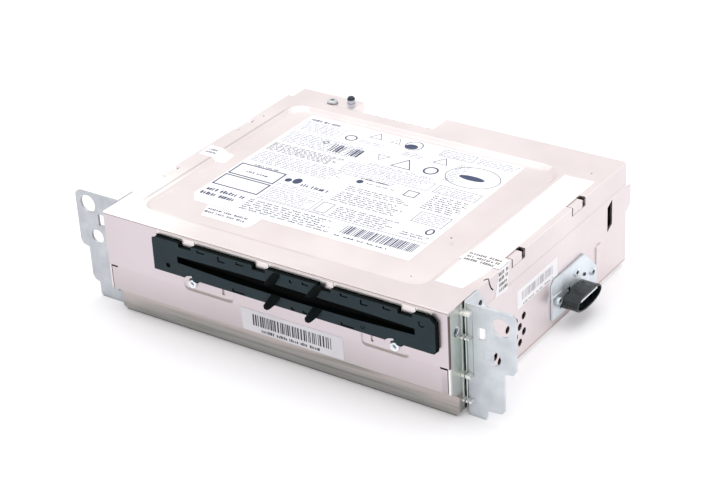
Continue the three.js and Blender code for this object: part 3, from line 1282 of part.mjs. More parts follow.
function makeSpindle() {
  const at = (z) => [disc.middleX, disc.middleY, z];
  const base = spindle.motorDiameter / 2;
  const tall = spindle.motorTop - spindle.motorFoot;
  let motor = bar('z', base, tall, at(spindle.motorFoot));
  motor = cut(motor, bar('z', spindle.shaft / 2 + spindle.run, spindle.shaftLength + overrun,
    at(spindle.motorTop - spindle.shaftLength + seatGap), smallSteps));
  add('spindle_motor', motor, steelInner);
  const rim = spindle.tableDiameter / 2;
  const shaftFoot = -(spindle.tableFoot - spindle.motorTop) - spindle.shaftLength + seatGap * 3;
  const face = tableTop - spindle.tableFoot;
  const bossTop = face + spindle.bossHeight;
  add('turntable', turned([
    [0, shaftFoot], [spindle.shaft / 2, shaftFoot], [spindle.shaft / 2, 0], [base, 0],
    [rim, face - spindle.rim], [rim, face], [spindle.boss / 2, face],
    [spindle.boss / 2, bossTop - spindle.rim], [spindle.boss / 2 - spindle.rim, bossTop], [0, bossTop],
  ], at(spindle.tableFoot)), greyPlastic);
}

function makeClamp() {
  const c = clampArm;
  const z0 = c.armFoot;
  const z1 = z0 + c.thickness;
  const x = disc.middleX;
  const lugOuter = c.spread - seatGap;
  const lugInner = lugOuter - c.lug;
  const half = c.lugDepth / 2;
  const nose = disc.middleY - c.nose;
  const outline = [
    [x - lugOuter, pivotY - half], [x - c.tongue / 2, pivotY - half * 3], [x - c.tongue / 2,
      nose + c.nose / 4],
    [x - c.tongue / 4, nose], [x + c.tongue / 4, nose], [x + c.tongue / 2, nose + c.nose / 4],
    [x + c.tongue / 2, pivotY - half * 3], [x + lugOuter, pivotY - half], [x + lugOuter, pivotY + half],
    [x - lugOuter, pivotY + half],
  ];
  let arm = plateZ(outline, z0, z1);
  for (const side of [-1, 1]) {
    const a = x + side * lugInner;
    const b = x + side * lugOuter;
    arm = join(arm, block(Math.min(a, b), Math.max(a, b), pivotY - half, pivotY + half, c.lugFoot, z1));
    const reach = c.lug + deck.thickness + seatGap;
    const start = side > 0 ? x + lugInner : x - lugInner - reach;
    arm = join(arm, bar('x', c.pin / 2, reach, [start, pivotY, c.pivotHeight], smallSteps));
    const ribX = side > 0 ? x + c.tongue / 2 - c.rib : x - c.tongue / 2;
    arm = join(arm, block(ribX, ribX + c.rib, nose + c.nose / 4, pivotY - half, z0, z1 + c.ribHeight));
  }
  const hole = puck.hub / 2 + c.hubRun;
  arm = cut(arm, bar('z', hole, overrun * 2, [x, disc.middleY, z0 - overrun / 2]));
  add('clamp_arm', arm, steelInner);

  const foot = disc.height + disc.thickness / 2 + puck.clear;
  const capFoot = z1 + fitGap - foot;
  const profile = [
    [0, puck.recessDepth], [puck.recess / 2, puck.recessDepth], [puck.recess / 2, 0], [puck.diameter / 2, 0],
    [puck.diameter / 2, puck.thickness], [puck.hub / 2, puck.thickness], [puck.hub / 2, capFoot],
    [puck.cap / 2, capFoot], [puck.cap / 2, capFoot + puck.capHeight], [0, capFoot + puck.capHeight],
  ];
  add('clamp_puck', turned(profile, [x, disc.middleY, foot]), blackPlastic);
}

function makePickup() {
  const middle = disc.middleX - sled.start;
  const y = disc.middleY;
  const half = sled.width / 2;
  let body = block(middle - sled.length / 2, middle + sled.length / 2, y - half, y + half, sled.foot,
    sled.top);
  const bore = rail.diameter / 2 + sled.run;
  for (const side of [-1, 1]) {
    const railY = y + side * rail.spread;
    const far = railY + side * (bore + sled.shoeWall);
    body = join(body, block(middle - sled.shoeLength / 2, middle + sled.shoeLength / 2,
      Math.min(far, y + side * half), Math.max(far, y + side * half), sled.shoeFoot,
      sled.top + sled.shoeWall));
    const at = [middle - sled.length / 2 - overrun, railY, rail.height];
    body = cut(body, bar('x', bore, sled.length + overrun * 2, at, smallSteps));
  }
  // The half nut that rides on the feed screw
  const feedY = y + feedScrew.spread;
  const farNut = feedY + feedScrew.diameter / 2 + sled.shoeWall + sled.run;
  const nutStart = y + rail.spread + bore + seatGap;
  body = join(body, block(middle - sled.nutWidth / 2, middle + sled.nutWidth / 2, nutStart, farNut,
    sled.shoeFoot, sled.top + sled.shoeWall));
  body = cut(body, bar('x', feedScrew.diameter / 2 + sled.run, sled.length, [middle - sled.length / 2, feedY,
    feedScrew.height], smallSteps));
  const seat = sled.lens / 2 + seatGap;
  const holderTop = sled.top + sled.holderRise;
  body = join(body, block(middle - sled.holder / 2, middle + sled.holder / 2, y - sled.holder / 2,
    y + sled.holder / 2, sled.top, holderTop));
  body = cut(body, bar('z', seat, overrun, [middle, y, sled.top - sled.lensRise], smallSteps));
  add('pickup_sled', body, steelInner);
  const lensFoot = sled.top - sled.lensRise + seatGap;
  const rise = holderTop + sled.lensRise - lensFoot;
  add('pickup_lens', turned([
    [0, 0], [sled.lens / 2, 0], [sled.lens / 2, rise / 2], [sled.lens / 3, rise * sled.lensShare], [0, rise],
  ], [middle, y, lensFoot], smallSteps), clearLens);
}

function makeFeed() {
  const names = { '-1': 'guide_rod_front', 1: 'guide_rod_back' };
  for (const side of [-1, 1]) {
    add(names[side], bar('x', rail.diameter / 2, rail.right - rail.left,
      [rail.left, disc.middleY + side * rail.spread, rail.height], smallSteps), brightSteel);
  }
  const feedY = disc.middleY + feedScrew.spread;
  const start = feedScrew.left - rail.block;
  let shaft = bar('x', feedScrew.journal / 2, feedScrew.right + feedMotor.length / 2 - start,
    [start, feedY, feedScrew.height], smallSteps);
  shaft = join(shaft, bar('x', feedScrew.diameter / 2, feedScrew.right - feedScrew.left - seatGap * 2,
    [feedScrew.left + seatGap, feedY, feedScrew.height], smallSteps));
  add('feed_screw', shaft, brightSteel);
  const motorStart = feedScrew.right + seatGap;
  let motor = bar('x', feedMotor.diameter / 2, feedMotor.length, [motorStart, feedY, feedScrew.height]);
  const cheekTop = feedScrew.height + feedMotor.diameter / 3;
  motor = join(motor, block(motorStart, motorStart + sheet, feedY - feedMotor.diameter,
    feedY + feedMotor.diameter, deck.height + deck.thickness + seatGap, cheekTop));
  motor = cut(motor, bar('x', feedScrew.journal / 2 + seatGap, feedMotor.length / 2 + overrun + seatGap,
    [motorStart - overrun, feedY, feedScrew.height], smallSteps));
  add('feed_motor', motor, steelInner);
}

// The outline of an involute gear, with a tooth centred on the given angle
function gearOutline(teeth, toothAngle) {
  const pitchRadius = gear.module * teeth / 2;
  const pressure = THREE.MathUtils.degToRad(gear.pressureAngle);
  const base = pitchRadius * Math.cos(pressure);
  const outer = pitchRadius + gear.module * gear.addendumShare;
  const root = pitchRadius - gear.module * gear.dedendumShare;
  const involute = (radius) => {
    const ratio = Math.max(1, radius / base);
    const angle = Math.acos(1 / ratio);
    return Math.tan(angle) - angle;
  };
  const halfTooth = (Math.PI / 2 / teeth) - gear.slack / pitchRadius;
  const flank = (radius) => halfTooth + involute(pitchRadius) - involute(radius);
  const low = Math.max(root, base);
  const points = [];
  for (let tooth = 0; tooth < teeth; tooth += 1) {
    const centre = toothAngle + (tooth / teeth) * Math.PI * 2;
    const radii = [root, (low + outer) / 2, outer];
    for (const radius of radii) {
      points.push([radius, centre - flank(radius)]);
    }
    for (const radius of [...radii].reverse()) {
      points.push([radius, centre + flank(radius)]);
    }
  }
  return points.map(([radius, angle]) => [radius * Math.cos(angle), radius * Math.sin(angle)]);
}

// A toothed disc across x, at [y, z], with an optional bore
function toothed(teeth, toothAngle, x0, y, z, bore) {
  const points = gearOutline(teeth, toothAngle).map(([a, b]) => [y + a, z + b]);
  const wheel = plateX(points, x0, x0 + gear.width);
  if (bore === 0) return wheel;
  return cut(wheel, bar('x', bore, gear.width + overrun, [x0 - overrun / 2, y, z], smallSteps));
}

function makeLoading() {
  const y = roller.middleY;
  const z = rollerHeight;
  const left = disc.middleX - roller.length / 2;
  const shaftRadius = roller.shaft / 2;
  const shaftStart = drive.left + seatGap;
  const shaft = bar('x', shaftRadius, shaftEnd - shaftStart, [shaftStart, y, z], smallSteps);
  add('roller_shaft', shaft, brightSteel);
  // Rubber that is thickest at its ends, so that a disc is gripped by its rim alone
  const waist = roller.radius - roller.flare;
  const bore = shaftRadius + seatGap;
  const sleeveProfile = [
    [bore, 0], [waist, 0], [roller.radius, roller.band / 4], [roller.radius, roller.band],
    [waist, roller.length / 2], [roller.radius, roller.length - roller.band],
    [roller.radius, roller.length - roller.band / 4], [waist, roller.length], [bore, roller.length],
    [bore, 0],
  ];
  const rubber = turned(sleeveProfile, [0, 0, 0], smallSteps).rotate([0, 90, 0]).translate([left, y, z]);
  add('loading_roller', rubber, blackRubber);
  // A tooth of the roller gear points at the reduction gear, which has a gap there
  const spare = shaftRadius + gear.bore;
  add('roller_gear', toothed(gear.rollerTeeth, 0, gear.planeA, y, z, spare), paleNylon);
  const gapAngle = Math.PI + Math.PI / gear.smallTeeth;
  const axleBore = stub.diameter / 2 + gear.bore;
  const motorAngle = Math.atan2(loadMotor.height - rollerHeight, loadMotorY - reductionY);
  const small = toothed(gear.smallTeeth, gapAngle, gear.planeA, reductionY, rollerHeight, axleBore);
  const large = toothed(gear.largeTeeth, motorAngle, planeB, reductionY, rollerHeight, axleBore);
  const web = bar('x', gear.hubDiameter / 2, planeB - gear.planeA - gear.width + seatGap * 2,
    [gear.planeA + gear.width - seatGap, reductionY, rollerHeight], smallSteps);
  const webAt = [gear.planeA + gear.width - overrun, reductionY, rollerHeight];
  const webBore = bar('x', axleBore, overrun * 2, webAt, smallSteps);
  add('reduction_gear', join(small, large, cut(web, webBore)), paleNylon);
  const pinionGap = motorAngle + Math.PI + Math.PI / gear.smallTeeth;
  const m = loadMotor;
  const shaftDepth = m.bossLength * m.shaftDepths;
  const pinion = join(
    toothed(gear.smallTeeth, pinionGap, planeB, loadMotorY, m.height, 0),
    bar('x', m.shaft / 2, planeB - m.right + shaftDepth,
      [m.right - shaftDepth + seatGap, loadMotorY, m.height], smallSteps));
  add('motor_pinion', pinion, paleNylon);
  const motorLeft = m.right - m.length;
  let motor = bar('x', m.diameter / 2, m.length - m.bossLength, [motorLeft, loadMotorY, m.height]);
  const bossAt = [m.right - m.bossLength, loadMotorY, m.height];
  motor = join(motor, bar('x', m.boss / 2, m.bossLength, bossAt, smallSteps));
  motor = cut(motor, bar('x', m.shaft / 2 + seatGap, shaftDepth + overrun,
    [m.right - shaftDepth, loadMotorY, m.height], smallSteps));
  add('loading_motor', motor, steelInner);
}

function makeLever() {
  const angle = THREE.MathUtils.degToRad(lever.restAngle);
  const along = [Math.cos(angle), Math.sin(angle)];
  const across = [-along[1], along[0]];
  const place = (run, offset) => [
    lever.pivotX + along[0] * run + across[0] * offset,
    lever.pivotY + along[1] * run + across[1] * offset,
  ];
  const half = lever.width / 2;
  const outline = [place(0, -half), place(lever.length, -half), place(lever.length + half, 0),
    place(lever.length, half), place(0, half)];
  const z0 = lever.foot;
  const z1 = z0 + lever.thickness;
  let arm = plateZ(outline, z0, z1);
  arm = join(arm, bar('z', lever.hub / 2, lever.thickness, [lever.pivotX, lever.pivotY, z0], smallSteps));
  arm = cut(arm, bar('z', lever.pin / 2 + lever.pinRun, overrun * 2,
    [lever.pivotX, lever.pivotY, z0 - overrun / 2], smallSteps));
  const [fx, fy] = place(lever.length, 0);
  arm = join(arm, bar('z', lever.finger / 2, lever.fingerTop - z0, [fx, fy, z0], smallSteps));
  add('disc_sensing_lever', arm, paleNylon);
}

function makeAll() {
  makeChassis();
  makeFrontPanel();
  makeBezel();
  makeFelts();
  makeBezelScrews();
  makeCover();
  makeEar('right_ear_bracket', 1, rightEar);
  makeEar('left_ear_bracket', -1, leftEar);
  makeSupport();
  makeSleeve();
  makeRear();
  makeRearSockets();
  makeRearBracket();
  makeHeatSink();
  makeBoard();
  makeComponents();
  makeDriveFrame();
  makeDeck();
  makeSpindle();
  makeClamp();
  makePickup();
  makeFeed();
  makeLoading();
  makeLever();
}

makeAll();

export default product;
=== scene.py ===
# Car navigation radio: finishes, labels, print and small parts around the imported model
import json
import math
import random

import bpy
import bmesh
from mathutils import Matrix, Vector

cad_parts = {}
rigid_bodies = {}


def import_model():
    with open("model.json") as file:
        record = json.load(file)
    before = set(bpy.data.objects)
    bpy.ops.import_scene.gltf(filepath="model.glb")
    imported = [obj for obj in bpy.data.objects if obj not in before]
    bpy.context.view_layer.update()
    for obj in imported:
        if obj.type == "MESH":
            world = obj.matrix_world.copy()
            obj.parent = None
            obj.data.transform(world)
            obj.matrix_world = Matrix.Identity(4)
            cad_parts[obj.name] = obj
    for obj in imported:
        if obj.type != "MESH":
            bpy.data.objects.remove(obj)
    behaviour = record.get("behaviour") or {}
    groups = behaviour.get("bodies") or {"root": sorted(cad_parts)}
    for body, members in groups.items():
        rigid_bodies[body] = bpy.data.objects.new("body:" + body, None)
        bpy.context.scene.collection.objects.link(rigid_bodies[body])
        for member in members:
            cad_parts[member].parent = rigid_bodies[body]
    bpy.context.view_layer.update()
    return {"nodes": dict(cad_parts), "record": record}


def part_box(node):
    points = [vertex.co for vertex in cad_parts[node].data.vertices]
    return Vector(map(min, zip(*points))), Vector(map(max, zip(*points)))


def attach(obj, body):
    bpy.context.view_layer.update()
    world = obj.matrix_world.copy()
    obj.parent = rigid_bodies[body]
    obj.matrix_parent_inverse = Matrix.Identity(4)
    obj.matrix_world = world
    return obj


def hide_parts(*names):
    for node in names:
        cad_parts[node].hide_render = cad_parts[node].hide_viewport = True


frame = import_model()
mm = 0.001
print("frame loaded:", len(frame["nodes"]), "nodes")


def boxOf(node):
    # a node's lowest and highest corners in millimetres, to a hundredth
    return [[round(value / mm, 2) for value in corner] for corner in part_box(node)]


# Places are in millimetres: x and z as in the frame, y from the front face backwards
caseLow, caseHigh = boxOf("top_cover")
halfDepth = -caseLow[1]
wallFace = caseHigh[0]
lidTop = caseHigh[2]
recessFloor = lidTop - 1.6  # the lid's recess is 1.6 deep
labelSheet = 0.1
printRise = 0.03  # real ink is thinner: this keeps it clear of its paper

# The camera stands where the photograph's did
view = {"azimuth": 35.745, "elevation": 28.545, "roll": 3.301, "distance": 885.19,
        "target": (-8.42, 3.9, 22.03), "lens": 96.56, "sensor": 36}


def placeCamera():
    az, el = math.radians(view["azimuth"]), math.radians(view["elevation"])
    away = Vector((math.cos(el) * math.sin(az), -math.cos(el) * math.cos(az), math.sin(el)))
    right = Vector((math.cos(az), math.sin(az), 0))
    up = away.cross(right)
    c, s = math.cos(math.radians(view["roll"])), math.sin(math.radians(view["roll"]))
    turned = Matrix((right * c - up * s, right * s + up * c, away)).transposed()
    camera = bpy.data.objects.new("camera", bpy.data.cameras.new("camera"))
    camera.data.lens = view["lens"]
    camera.data.sensor_width = view["sensor"]
    camera.data.clip_start = 0.01
    place = (Vector(view["target"]) + away * view["distance"]) * mm
    camera.matrix_world = Matrix.Translation(place) @ turned.to_4x4()
    bpy.context.scene.collection.objects.link(camera)
    bpy.context.scene.camera = camera


placeCamera()


def tone(code):
    # an sRGB hex value as linear colour
    parts = [int(code[i:i + 2], 16) / 255 for i in (1, 3, 5)]
    return tuple(p / 12.92 if p <= 0.04045 else ((p + 0.055) / 1.055) ** 2.4 for p in parts) + (1,)


def addNode(tree, kind, settings=None, links=None):
    # one node, with its settings by attribute or by input, and links from other nodes' outputs
    node = tree.nodes.new(kind)
    for key, value in (settings or {}).items():
        if isinstance(key, str) and hasattr(node, key):
            setattr(node, key, value)
        else:
            node.inputs[key].default_value = value
    for key, source in (links or {}).items():
        tree.links.new(source, node.inputs[key])
    return node


def newMaterial(name, settings):
    made = bpy.data.materials.new(name)
    made.use_nodes = True
    tree = made.node_tree
    tree.nodes.clear()
    shader = addNode(tree, "ShaderNodeBsdfPrincipled", settings)
    addNode(tree, "ShaderNodeOutputMaterial", links={"Surface": shader.outputs[0]})
    place = addNode(tree, "ShaderNodeTexCoord").outputs["Object"]
    return made, tree, shader, place


def noiseAt(tree, place, size, detail, stretch):
    # noise whose patches are size millimetres across, drawn out along an axis by a small stretch there
    stretched = addNode(tree, "ShaderNodeMapping", {"Scale": stretch}, {"Vector": place})
    return addNode(tree, "ShaderNodeTexNoise", {"Scale": 1 / (size * mm), "Detail": detail},
                   {"Vector": stretched.outputs[0]}).outputs[0]


def mottle(tree, place, size, low, high, detail=3, stretch=(1, 1, 1), spread=(0.3, 0.7)):
    # two colours or grey levels mixed in patches
    ramp = addNode(tree, "ShaderNodeValToRGB", links={"Fac": noiseAt(tree, place, size, detail, stretch)})
    for stop, position, colour in zip(ramp.color_ramp.elements, spread, (low, high)):
        stop.position = position
        stop.color = colour
    return ramp.outputs[0]


def grey(level):
    return (level, level, level, 1)


def relief(tree, place, size, depth, stretch=(1, 1, 1), detail=2):
    # a bump from noise, size and depth in millimetres
    return addNode(tree, "ShaderNodeBump", {"Strength": 0.6, "Distance": depth * mm},
                   {"Height": noiseAt(tree, place, size, detail, stretch)}).outputs[0]


def over(tree, shader, mask, colour, blend="MIX"):
    # lays a colour over what already feeds the shader's base, where mask is 1; a Mix node's colours go in at
    # 6 and 7 and come out at 2
    mixed = addNode(tree, "ShaderNodeMix", {"data_type": "RGBA", "blend_type": blend},
                    {0: mask, 6: shader.inputs["Base Color"].links[0].from_socket})
    if isinstance(colour, tuple):
        mixed.inputs[7].default_value = colour
    else:
        tree.links.new(colour, mixed.inputs[7])
    tree.links.new(mixed.outputs[2], shader.inputs["Base Color"])


def grained(name, look, settings):
    # what metals and mouldings share: patches of colour, smaller ones of gloss, and a fine grain
    made, tree, shader, place = newMaterial(name, settings)
    colour = mottle(tree, place, look["patch"], *map(tone, look["tones"]))
    rough = mottle(tree, place, look["patch"] / look["finer"], *map(grey, look["rough"]))
    bump = relief(tree, place, look["grain"], look["depth"], look["stretch"])
    tree.links.new(colour, shader.inputs["Base Color"])
    tree.links.new(rough, shader.inputs["Roughness"])
    tree.links.new(bump, shader.inputs["Normal"])
    return made, tree, shader, bump.node


# Metals: two tones of the face, the sizes of its patches and grain in millimetres, how far edges are given a
# painted highlight (edge) and hollows a painted shade (paintedShade), and how far out of a hollow that shade
# reaches. The real grain is a few hundredths wide, and is drawn coarser so that it shows
metalDefaults = {"grain": 0.5, "stretch": (1, 1, 1), "finer": 3, "reach": 3, "round": 0.3,
                 "highlightEnds": (0.99, 0.85), "shaded": (0.75, 0.15)}
metals = {
    # the lid's clear-coated sheet: a warm satin, with long faint rolling marks across its width
    "coatedSteelSheetRolled": {
        "tones": ("#e9dedd", "#f3eae9"), "patch": 45, "stretch": (0.12, 1, 1), "rough": (0.3, 0.38),
        "depth": 0.006, "edge": (0.5, "#fffdfc"), "paintedShade": (0.75, "#9b8f8b")},
    # the same sheet upright in front, a copy made greyer with painted shade, more even, with painted
    # highlights on its edges
    "coatedSteelSheetFront": {
        "tones": ("#cbc1c4", "#d3c9cd"), "patch": 90, "stretch": (0.12, 1, 1), "rough": (0.3, 0.38),
        "depth": 0.006, "edge": (0.6, "#f4eeee"), "paintedShade": (0.45, "#84807c"), "reach": 1.2},
    # the pan's sheet: the same satin, a little darker
    "coatedSteelSheetLower": {
        "tones": ("#dcd2d3", "#e6dcdd"), "patch": 40, "stretch": (0.12, 1, 1), "rough": (0.3, 0.4),
        "depth": 0.006, "edge": (0.5, "#fbf6f5"), "paintedShade": (0.5, "#7b7a75")},
    # stamped, then zinc plated: cool and blotchy, with painted shade in its corners
    "zincPlatedSteelStamped": {
        "tones": ("#c2c7cd", "#d7dce0"), "patch": 9, "grain": 0.6, "rough": (0.38, 0.52), "depth": 0.008,
        "edge": (0.45, "#dfe2e4"), "paintedShade": (0.85, "#5d6460")},
    # the same plating made lighter, nearly white, with little painted shade: painted light on the side
    # bracket
    "zincPlatedSteelFresh": {
        "tones": ("#d9e1e7", "#e8eef3"), "patch": 9, "grain": 0.6, "rough": (0.36, 0.48), "depth": 0.008,
        "edge": (0.45, "#f3f6f8"), "paintedShade": (0.2, "#8d969a")},
    # a turned and plated stud, bluish
    "zincPlatedSteelStud": {
        "tones": ("#c3cad8", "#d6dce6"), "patch": 3, "grain": 0.4, "rough": (0.3, 0.42), "depth": 0.005,
        "edge": (0.4, "#eef1f5"), "paintedShade": (0.3, "#8b91a0")},
    # galvanised sheet inside the case: grey, with the patches of its spangle
    "galvanisedSteelPressed": {
        "tones": ("#b4b4b2", "#d2d1ce"), "patch": 7, "grain": 0.8, "rough": (0.34, 0.5), "depth": 0.008,
        "edge": (0.4, "#eceae6"), "paintedShade": (0.6, "#6d6a64")},
    # turned and nickel plated: a tight bright highlight
    "nickelPlatedSteelTurned": {
        "tones": ("#c3c5c9", "#e3e4e7"), "patch": 2.5, "grain": 0.35, "rough": (0.18, 0.3), "depth": 0.004,
        "edge": (0.4, "#f6f6f7"), "paintedShade": (0.8, "#4b4f52")},
    # headed and nickel plated: a pale crown, with painted shade where it meets its seat
    "nickelPlatedSteelBright": {
        "tones": ("#dfe4e8", "#f3f5f7"), "patch": 2.5, "grain": 0.35, "rough": (0.25, 0.36), "depth": 0.003,
        "edge": (0.3, "#ffffff"), "paintedShade": (0.9, "#5a6776"), "reach": 0.9},
    # the rim of a hole, near white all round: a painted highlight
    "nickelPlatedSteelRim": {
        "tones": ("#f4f7fa", "#fdfeff"), "patch": 2, "grain": 0.35, "rough": (0.3, 0.4), "depth": 0.002,
        "edge": (0.1, "#ffffff"), "paintedShade": (0.05, "#9aa6b0"), "reach": 0.5},
    # the floor of a socket, blue-grey because little light comes in
    "nickelPlatedSteelSocket": {
        "tones": ("#6f7d8c", "#8492a0"), "patch": 2, "grain": 0.35, "rough": (0.35, 0.46), "depth": 0.003,
        "edge": (0.2, "#c3ccd4"), "paintedShade": (0.5, "#3e4854"), "reach": 0.9},
    # extruded fins: die lines run up them
    "aluminiumExtruded": {
        "tones": ("#b9bbbe", "#d6d7d9"), "patch": 8, "stretch": (1, 1, 0.08), "rough": (0.4, 0.54),
        "depth": 0.012, "edge": (0.4, "#e9eaec"), "paintedShade": (0.6, "#6a6c6e")},
}


def metal(name):
    # edges get a painted highlight, and hollows where sheets meet get a painted shade
    look = {**metalDefaults, **metals[name]}
    made, tree, shader, bump = grained(name, look, {"Metallic": 1.0})
    rounded = addNode(tree, "ShaderNodeBevel", {"samples": 4, "Radius": look["round"] * mm}).outputs[0]
    tree.links.new(rounded, bump.inputs["Normal"])
    facing = addNode(tree, "ShaderNodeNewGeometry").outputs["Normal"]
    agree = addNode(tree, "ShaderNodeVectorMath", {"operation": "DOT_PRODUCT"}, {0: rounded, 1: facing})
    hollow = addNode(tree, "ShaderNodeAmbientOcclusion", {"samples": 6, "Distance": look["reach"] * mm})
    for source, ends, (most, colour) in ((agree.outputs["Value"], look["highlightEnds"], look["edge"]),
                                         (hollow.outputs["AO"], look["shaded"], look["paintedShade"])):
        mask = addNode(tree, "ShaderNodeMapRange", {"From Min": ends[0], "From Max": ends[1], "To Max": most},
                       {"Value": source})
        over(tree, shader, mask.outputs[0], tone(colour))
    return made


# Mouldings, rubber, felt and board, in the same terms; their grain breaks up the highlight
mouldingDefaults = {"grain": 0.3, "stretch": (1, 1, 1), "finer": 2, "ior": 1.53, "gloss": 0.5}
mouldings = {
    # the bezel's face: a blue black, dulled by the glass in it
    "glassFilledPlasticMoulded": {"tones": ("#0a1f26", "#0d272f"), "patch": 9, "grain": 0.35,
                                  "rough": (0.5, 0.62), "depth": 0.02, "gloss": 0.28},
    # the same plastic, made darker as painted shade, in its mouth, grooves and walls, with hardly any gloss
    "glassFilledPlasticDark": {"tones": ("#040a0a", "#081010"), "patch": 4, "rough": (0.7, 0.85),
                               "depth": 0.02, "gloss": 0.08},
    # connector housings: even colour and a soft sheen
    "blackPlasticMoulded": {"tones": ("#101315", "#1b1f21"), "patch": 4, "rough": (0.42, 0.55),
                            "depth": 0.015, "gloss": 0.4},
    "greyPlasticMoulded": {"tones": ("#8b8d8f", "#a3a5a7"), "patch": 4, "rough": (0.42, 0.56),
                           "depth": 0.015},
    "violetPlasticMoulded": {"tones": ("#6a4a94", "#7c5aa8"), "patch": 3, "rough": (0.42, 0.55),
                             "depth": 0.012},
    "bluePlasticMoulded": {"tones": ("#2f62a8", "#3d73bb"), "patch": 3, "rough": (0.42, 0.55),
                           "depth": 0.012},
    # gears and rollers: cream and waxy
    "acetalMoulded": {"tones": ("#d8d3c3", "#e8e4d8"), "patch": 3, "rough": (0.3, 0.42), "depth": 0.006,
                      "ior": 1.48},
    # moulded rubber: black, with a broad highlight where it curves
    "rubberMoulded": {"tones": ("#0a1011", "#151c1d"), "patch": 3, "grain": 0.25, "rough": (0.24, 0.36),
                      "depth": 0.02, "ior": 1.52},
    # pressed felt: matt, its fibres drawn as a deep fine grain
    "feltPressed": {"tones": ("#0a0b0c", "#151719"), "patch": 0.6, "grain": 0.2, "rough": (0.9, 1.0),
                    "depth": 0.15, "ior": 1.5, "gloss": 0.2},
    # glass laminate under green lacquer: glossy and slightly cloudy
    "epoxyLaminateCoated": {"tones": ("#1d4a2e", "#276238"), "patch": 5, "grain": 0.5,
                            "rough": (0.25, 0.4), "depth": 0.01, "ior": 1.55},
    # pressed ferrite: a dull dark grey ceramic
    "ferritePressed": {"tones": ("#3b3d40", "#515356"), "patch": 1.5, "rough": (0.5, 0.65), "depth": 0.02,
                       "ior": 2.0, "gloss": 0.4},
}


def moulding(name):
    look = {**mouldingDefaults, **mouldings[name]}
    return grained(name, look, {"IOR": look["ior"], "Specular IOR Level": look["gloss"]})[0]


# Label stock and print: two tones, the size of their patches and one roughness all over
labelDefaults = {"patch": 0.8, "rough": 0.6, "ior": 1.5, "cockle": None}
labelStocks = {
    # paper: smooth, a little uneven in tone where it was rubbed down
    "labelPaperCoated": {"tones": ("#f7f6fa", "#fdfcfe"), "patch": 14, "rough": 0.42, "cockle": (3, 0.02)},
    # the front label's paper: the same paper made greyer as painted shade
    "labelPaperUncoated": {"tones": ("#cfcdd2", "#d9d7db"), "patch": 14, "rough": 0.42, "cockle": (3, 0.02)},
    # thermal print: slightly uneven, and slate, black, faint or worn against the paper
    "inkThermalDark": {"tones": ("#2c3858", "#3d4a6c")},
    "inkThermalBlack": {"tones": ("#26282e", "#3a3d44")},
    "inkThermalFaint": {"tones": ("#9a9db6", "#aeb0c6")},
    "inkThermalWorn": {"tones": ("#67625f", "#7d7876")},
    "inkThermalPale": {"tones": ("#a7a3ab", "#bab6bd")},
}


def labelStock(name):
    look = {**labelDefaults, **labelStocks[name]}
    made, tree, shader, place = newMaterial(name, {"Roughness": look["rough"], "IOR": look["ior"]})
    tree.links.new(mottle(tree, place, look["patch"], *map(tone, look["tones"])), shader.inputs["Base Color"])
    if look["cockle"]:
        tree.links.new(relief(tree, place, *look["cockle"]), shader.inputs["Normal"])
    return made


makers = ((metal, metals), (moulding, mouldings), (labelStock, labelStocks))
finishes = {name: make(name) for make, looks in makers for name in looks}
print("materials made:", len(finishes))


def partsOf(name):
    # a finish's tree with its shader and its Object coordinates
    tree = finishes[name].node_tree
    shader = next(n for n in tree.nodes if n.type == "BSDF_PRINCIPLED")
    place = next(n for n in tree.nodes if n.type == "TEX_COORD").outputs["Object"]
    return tree, shader, place


def times(tree, levels):
    # the product of several masks
    product = levels[0]
    for level in levels[1:]:
        both = addNode(tree, "ShaderNodeMath", {"operation": "MULTIPLY"}, {0: product, 1: level})
        product = both.outputs[0]
    return product


def placeMask(tree, place, ranges, soft):
    # 1 inside the ranges of x, y and z, fading to 0 over soft millimetres beyond them; None is an open end
    spot = addNode(tree, "ShaderNodeSeparateXYZ", links={"Vector": place})
    fades = soft if isinstance(soft, tuple) else (soft,) * 3
    masks = []
    for axis, key in enumerate("xyz"):
        shift = halfDepth if key == "y" else 0
        for end, outwards in zip(ranges.get(key, ()), (-1, 1)):
            if end is not None:
                edge = end - shift
                fade = {"From Min": (edge + outwards * fades[axis]) * mm, "From Max": edge * mm}
                mask = addNode(tree, "ShaderNodeMapRange", fade, {"Value": spot.outputs[axis]})
                masks.append(mask.outputs[0])
    return times(tree, masks)


# The pan's recessed front strip: grey and darker at its foot, both painted shade, with drawn-out streaks
strip = {"range": {"y": (None, 10.6), "z": (None, 13.5)}, "soft": (0, 0.5, 2), "rise": 12.5,
         "crown": "#c9bebb", "base": "#9f9e99", "streak": "#92918b", "streakSize": 2.2,
         "streakRun": (0.04, 1, 1), "streakSpread": (0.5, 0.72)}


def shadeFrontStrip():
    tree, shader, place = partsOf("coatedSteelSheetLower")
    area = placeMask(tree, place, strip["range"], strip["soft"])
    rise = placeMask(tree, place, {"z": (strip["rise"], None)}, strip["rise"])
    shade = addNode(tree, "ShaderNodeMix",
                    {"data_type": "RGBA", 6: tone(strip["base"]), 7: tone(strip["crown"])}, {0: rise})
    over(tree, shader, area, shade.outputs[2])
    streaks = mottle(tree, place, strip["streakSize"], grey(0), grey(1), detail=4,
                     stretch=strip["streakRun"], spread=strip["streakSpread"])
    over(tree, shader, times(tree, [area, streaks]), tone(strip["streak"]))
